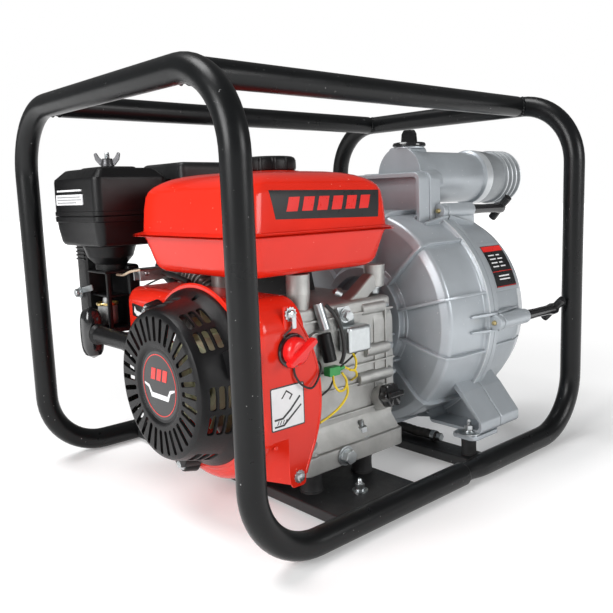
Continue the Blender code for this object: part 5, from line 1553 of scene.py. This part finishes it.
def build_stage():
    bm = bmesh.new()
    bmesh.ops.create_grid(bm, x_segments=1, y_segments=1, size=14.0)
    mesh = bpy.data.meshes.new("floor")
    bm.to_mesh(mesh)
    bm.free()
    floor = bpy.data.objects.new("floor", mesh)
    bpy.context.scene.collection.objects.link(floor)
    floor.location.z = -0.0005
    mat = bpy.data.materials.new("pale_floor_glowing")
    mat.use_nodes = True
    shader = mat.node_tree.nodes["Principled BSDF"]
    shader.inputs["Base Color"].default_value = (0.80, 0.80, 0.80, 1)
    shader.inputs["Roughness"].default_value = 0.85
    # Painted glow: the floor emits light, from strength 0.22 near the machine to 0.75 far out, so it stays dimmer
    # around the machine and whitens towards the horizon.
    shader.inputs["Emission Color"].default_value = (1.0, 1.0, 1.0, 1)
    nodes, links = mat.node_tree.nodes, mat.node_tree.links
    reach = nodes.new("ShaderNodeVectorMath")
    reach.operation = "LENGTH"
    links.new(nodes.new("ShaderNodeTexCoord").outputs["Object"], reach.inputs[0])
    level = nodes.new("ShaderNodeMapRange")
    level.inputs["From Min"].default_value, level.inputs["From Max"].default_value = 0.45, 2.2
    level.inputs["To Min"].default_value, level.inputs["To Max"].default_value = 0.22, 0.75
    links.new(reach.outputs["Value"], level.inputs["Value"])
    links.new(level.outputs["Result"], shader.inputs["Emission Strength"])
    floor.data.materials.append(mat)


def area_light(name, place, target, size, power):
    light = bpy.data.lights.new(name, "AREA")
    light.shape = "RECTANGLE"
    light.size, light.size_y = size
    light.energy = power
    obj = bpy.data.objects.new(name, light)
    bpy.context.scene.collection.objects.link(obj)
    obj.location = place
    obj.rotation_mode = "QUATERNION"
    obj.rotation_quaternion = (Vector(target) - Vector(place)).to_track_quat("-Z", "Y")


def build_lights():
    """White backdrop for the camera, a dimmer sky for the object, and three soft boxes."""
    world = bpy.data.worlds.new("studio")
    bpy.context.scene.world = world
    world.use_nodes = True
    tree = world.node_tree
    background = tree.nodes["Background"]
    rays = tree.nodes.new("ShaderNodeLightPath")
    level = tree.nodes.new("ShaderNodeMapRange")
    level.inputs["To Min"].default_value = 0.16
    level.inputs["To Max"].default_value = 1.0
    tree.links.new(rays.outputs["Is Camera Ray"], level.inputs["Value"])
    tree.links.new(level.outputs["Result"], background.inputs["Strength"])
    background.inputs["Color"].default_value = (1.0, 1.0, 1.0, 1)
    area_light("key", (-1.7, -0.2, 0.9), (0, 0, 0.2), (0.8, 0.8), 24)
    area_light("side", (0.5, -1.9, 0.8), (0.05, 0, 0.2), (0.8, 0.7), 15)
    sun = bpy.data.lights.new("overhead", "SUN")
    sun.energy = 1.9
    sun.angle = math.radians(30)
    obj = bpy.data.objects.new("overhead", sun)
    bpy.context.scene.collection.objects.link(obj)
    obj.rotation_euler = (math.radians(-18), math.radians(-14), 0)


def build_camera():
    camera = bpy.data.cameras.new("camera")
    camera.sensor_width = 36
    camera.lens = 42.12
    camera.shift_x, camera.shift_y = -0.0394, -0.0074
    camera.clip_start, camera.clip_end = 0.01, 100
    obj = bpy.data.objects.new("camera", camera)
    bpy.context.scene.collection.objects.link(obj)
    right = Vector((0.7288, -0.6841, -0.0299))
    up = Vector((0.1221, 0.0869, 0.9887))
    look = Vector((0.6738, 0.7242, -0.1469))
    turn = Matrix((right, up, -look)).transposed().to_4x4()
    obj.matrix_world = Matrix.Translation((-0.6308, -0.6823, 0.3273)) @ turn
    bpy.context.scene.camera = obj


def main():
    make_finishes()
    build_camera()
    build_hoops()
    build_rails()
    build_base()
    build_buffers()
    build_crankcase()
    build_side_cover()
    build_head()
    build_shroud()
    build_recoil()
    build_flywheel()
    build_tank()
    build_air_cleaner()
    build_carburettor()
    build_muffler()
    build_switch()
    build_stickers()
    build_near_side_fittings()
    build_back_housing()
    build_front_cover()
    build_discharge()
    build_handles()
    build_drain_hose()
    dress_inner_nodes()
    build_stage()
    build_lights()
    bpy.context.scene.view_settings.view_transform = "Standard"


main()
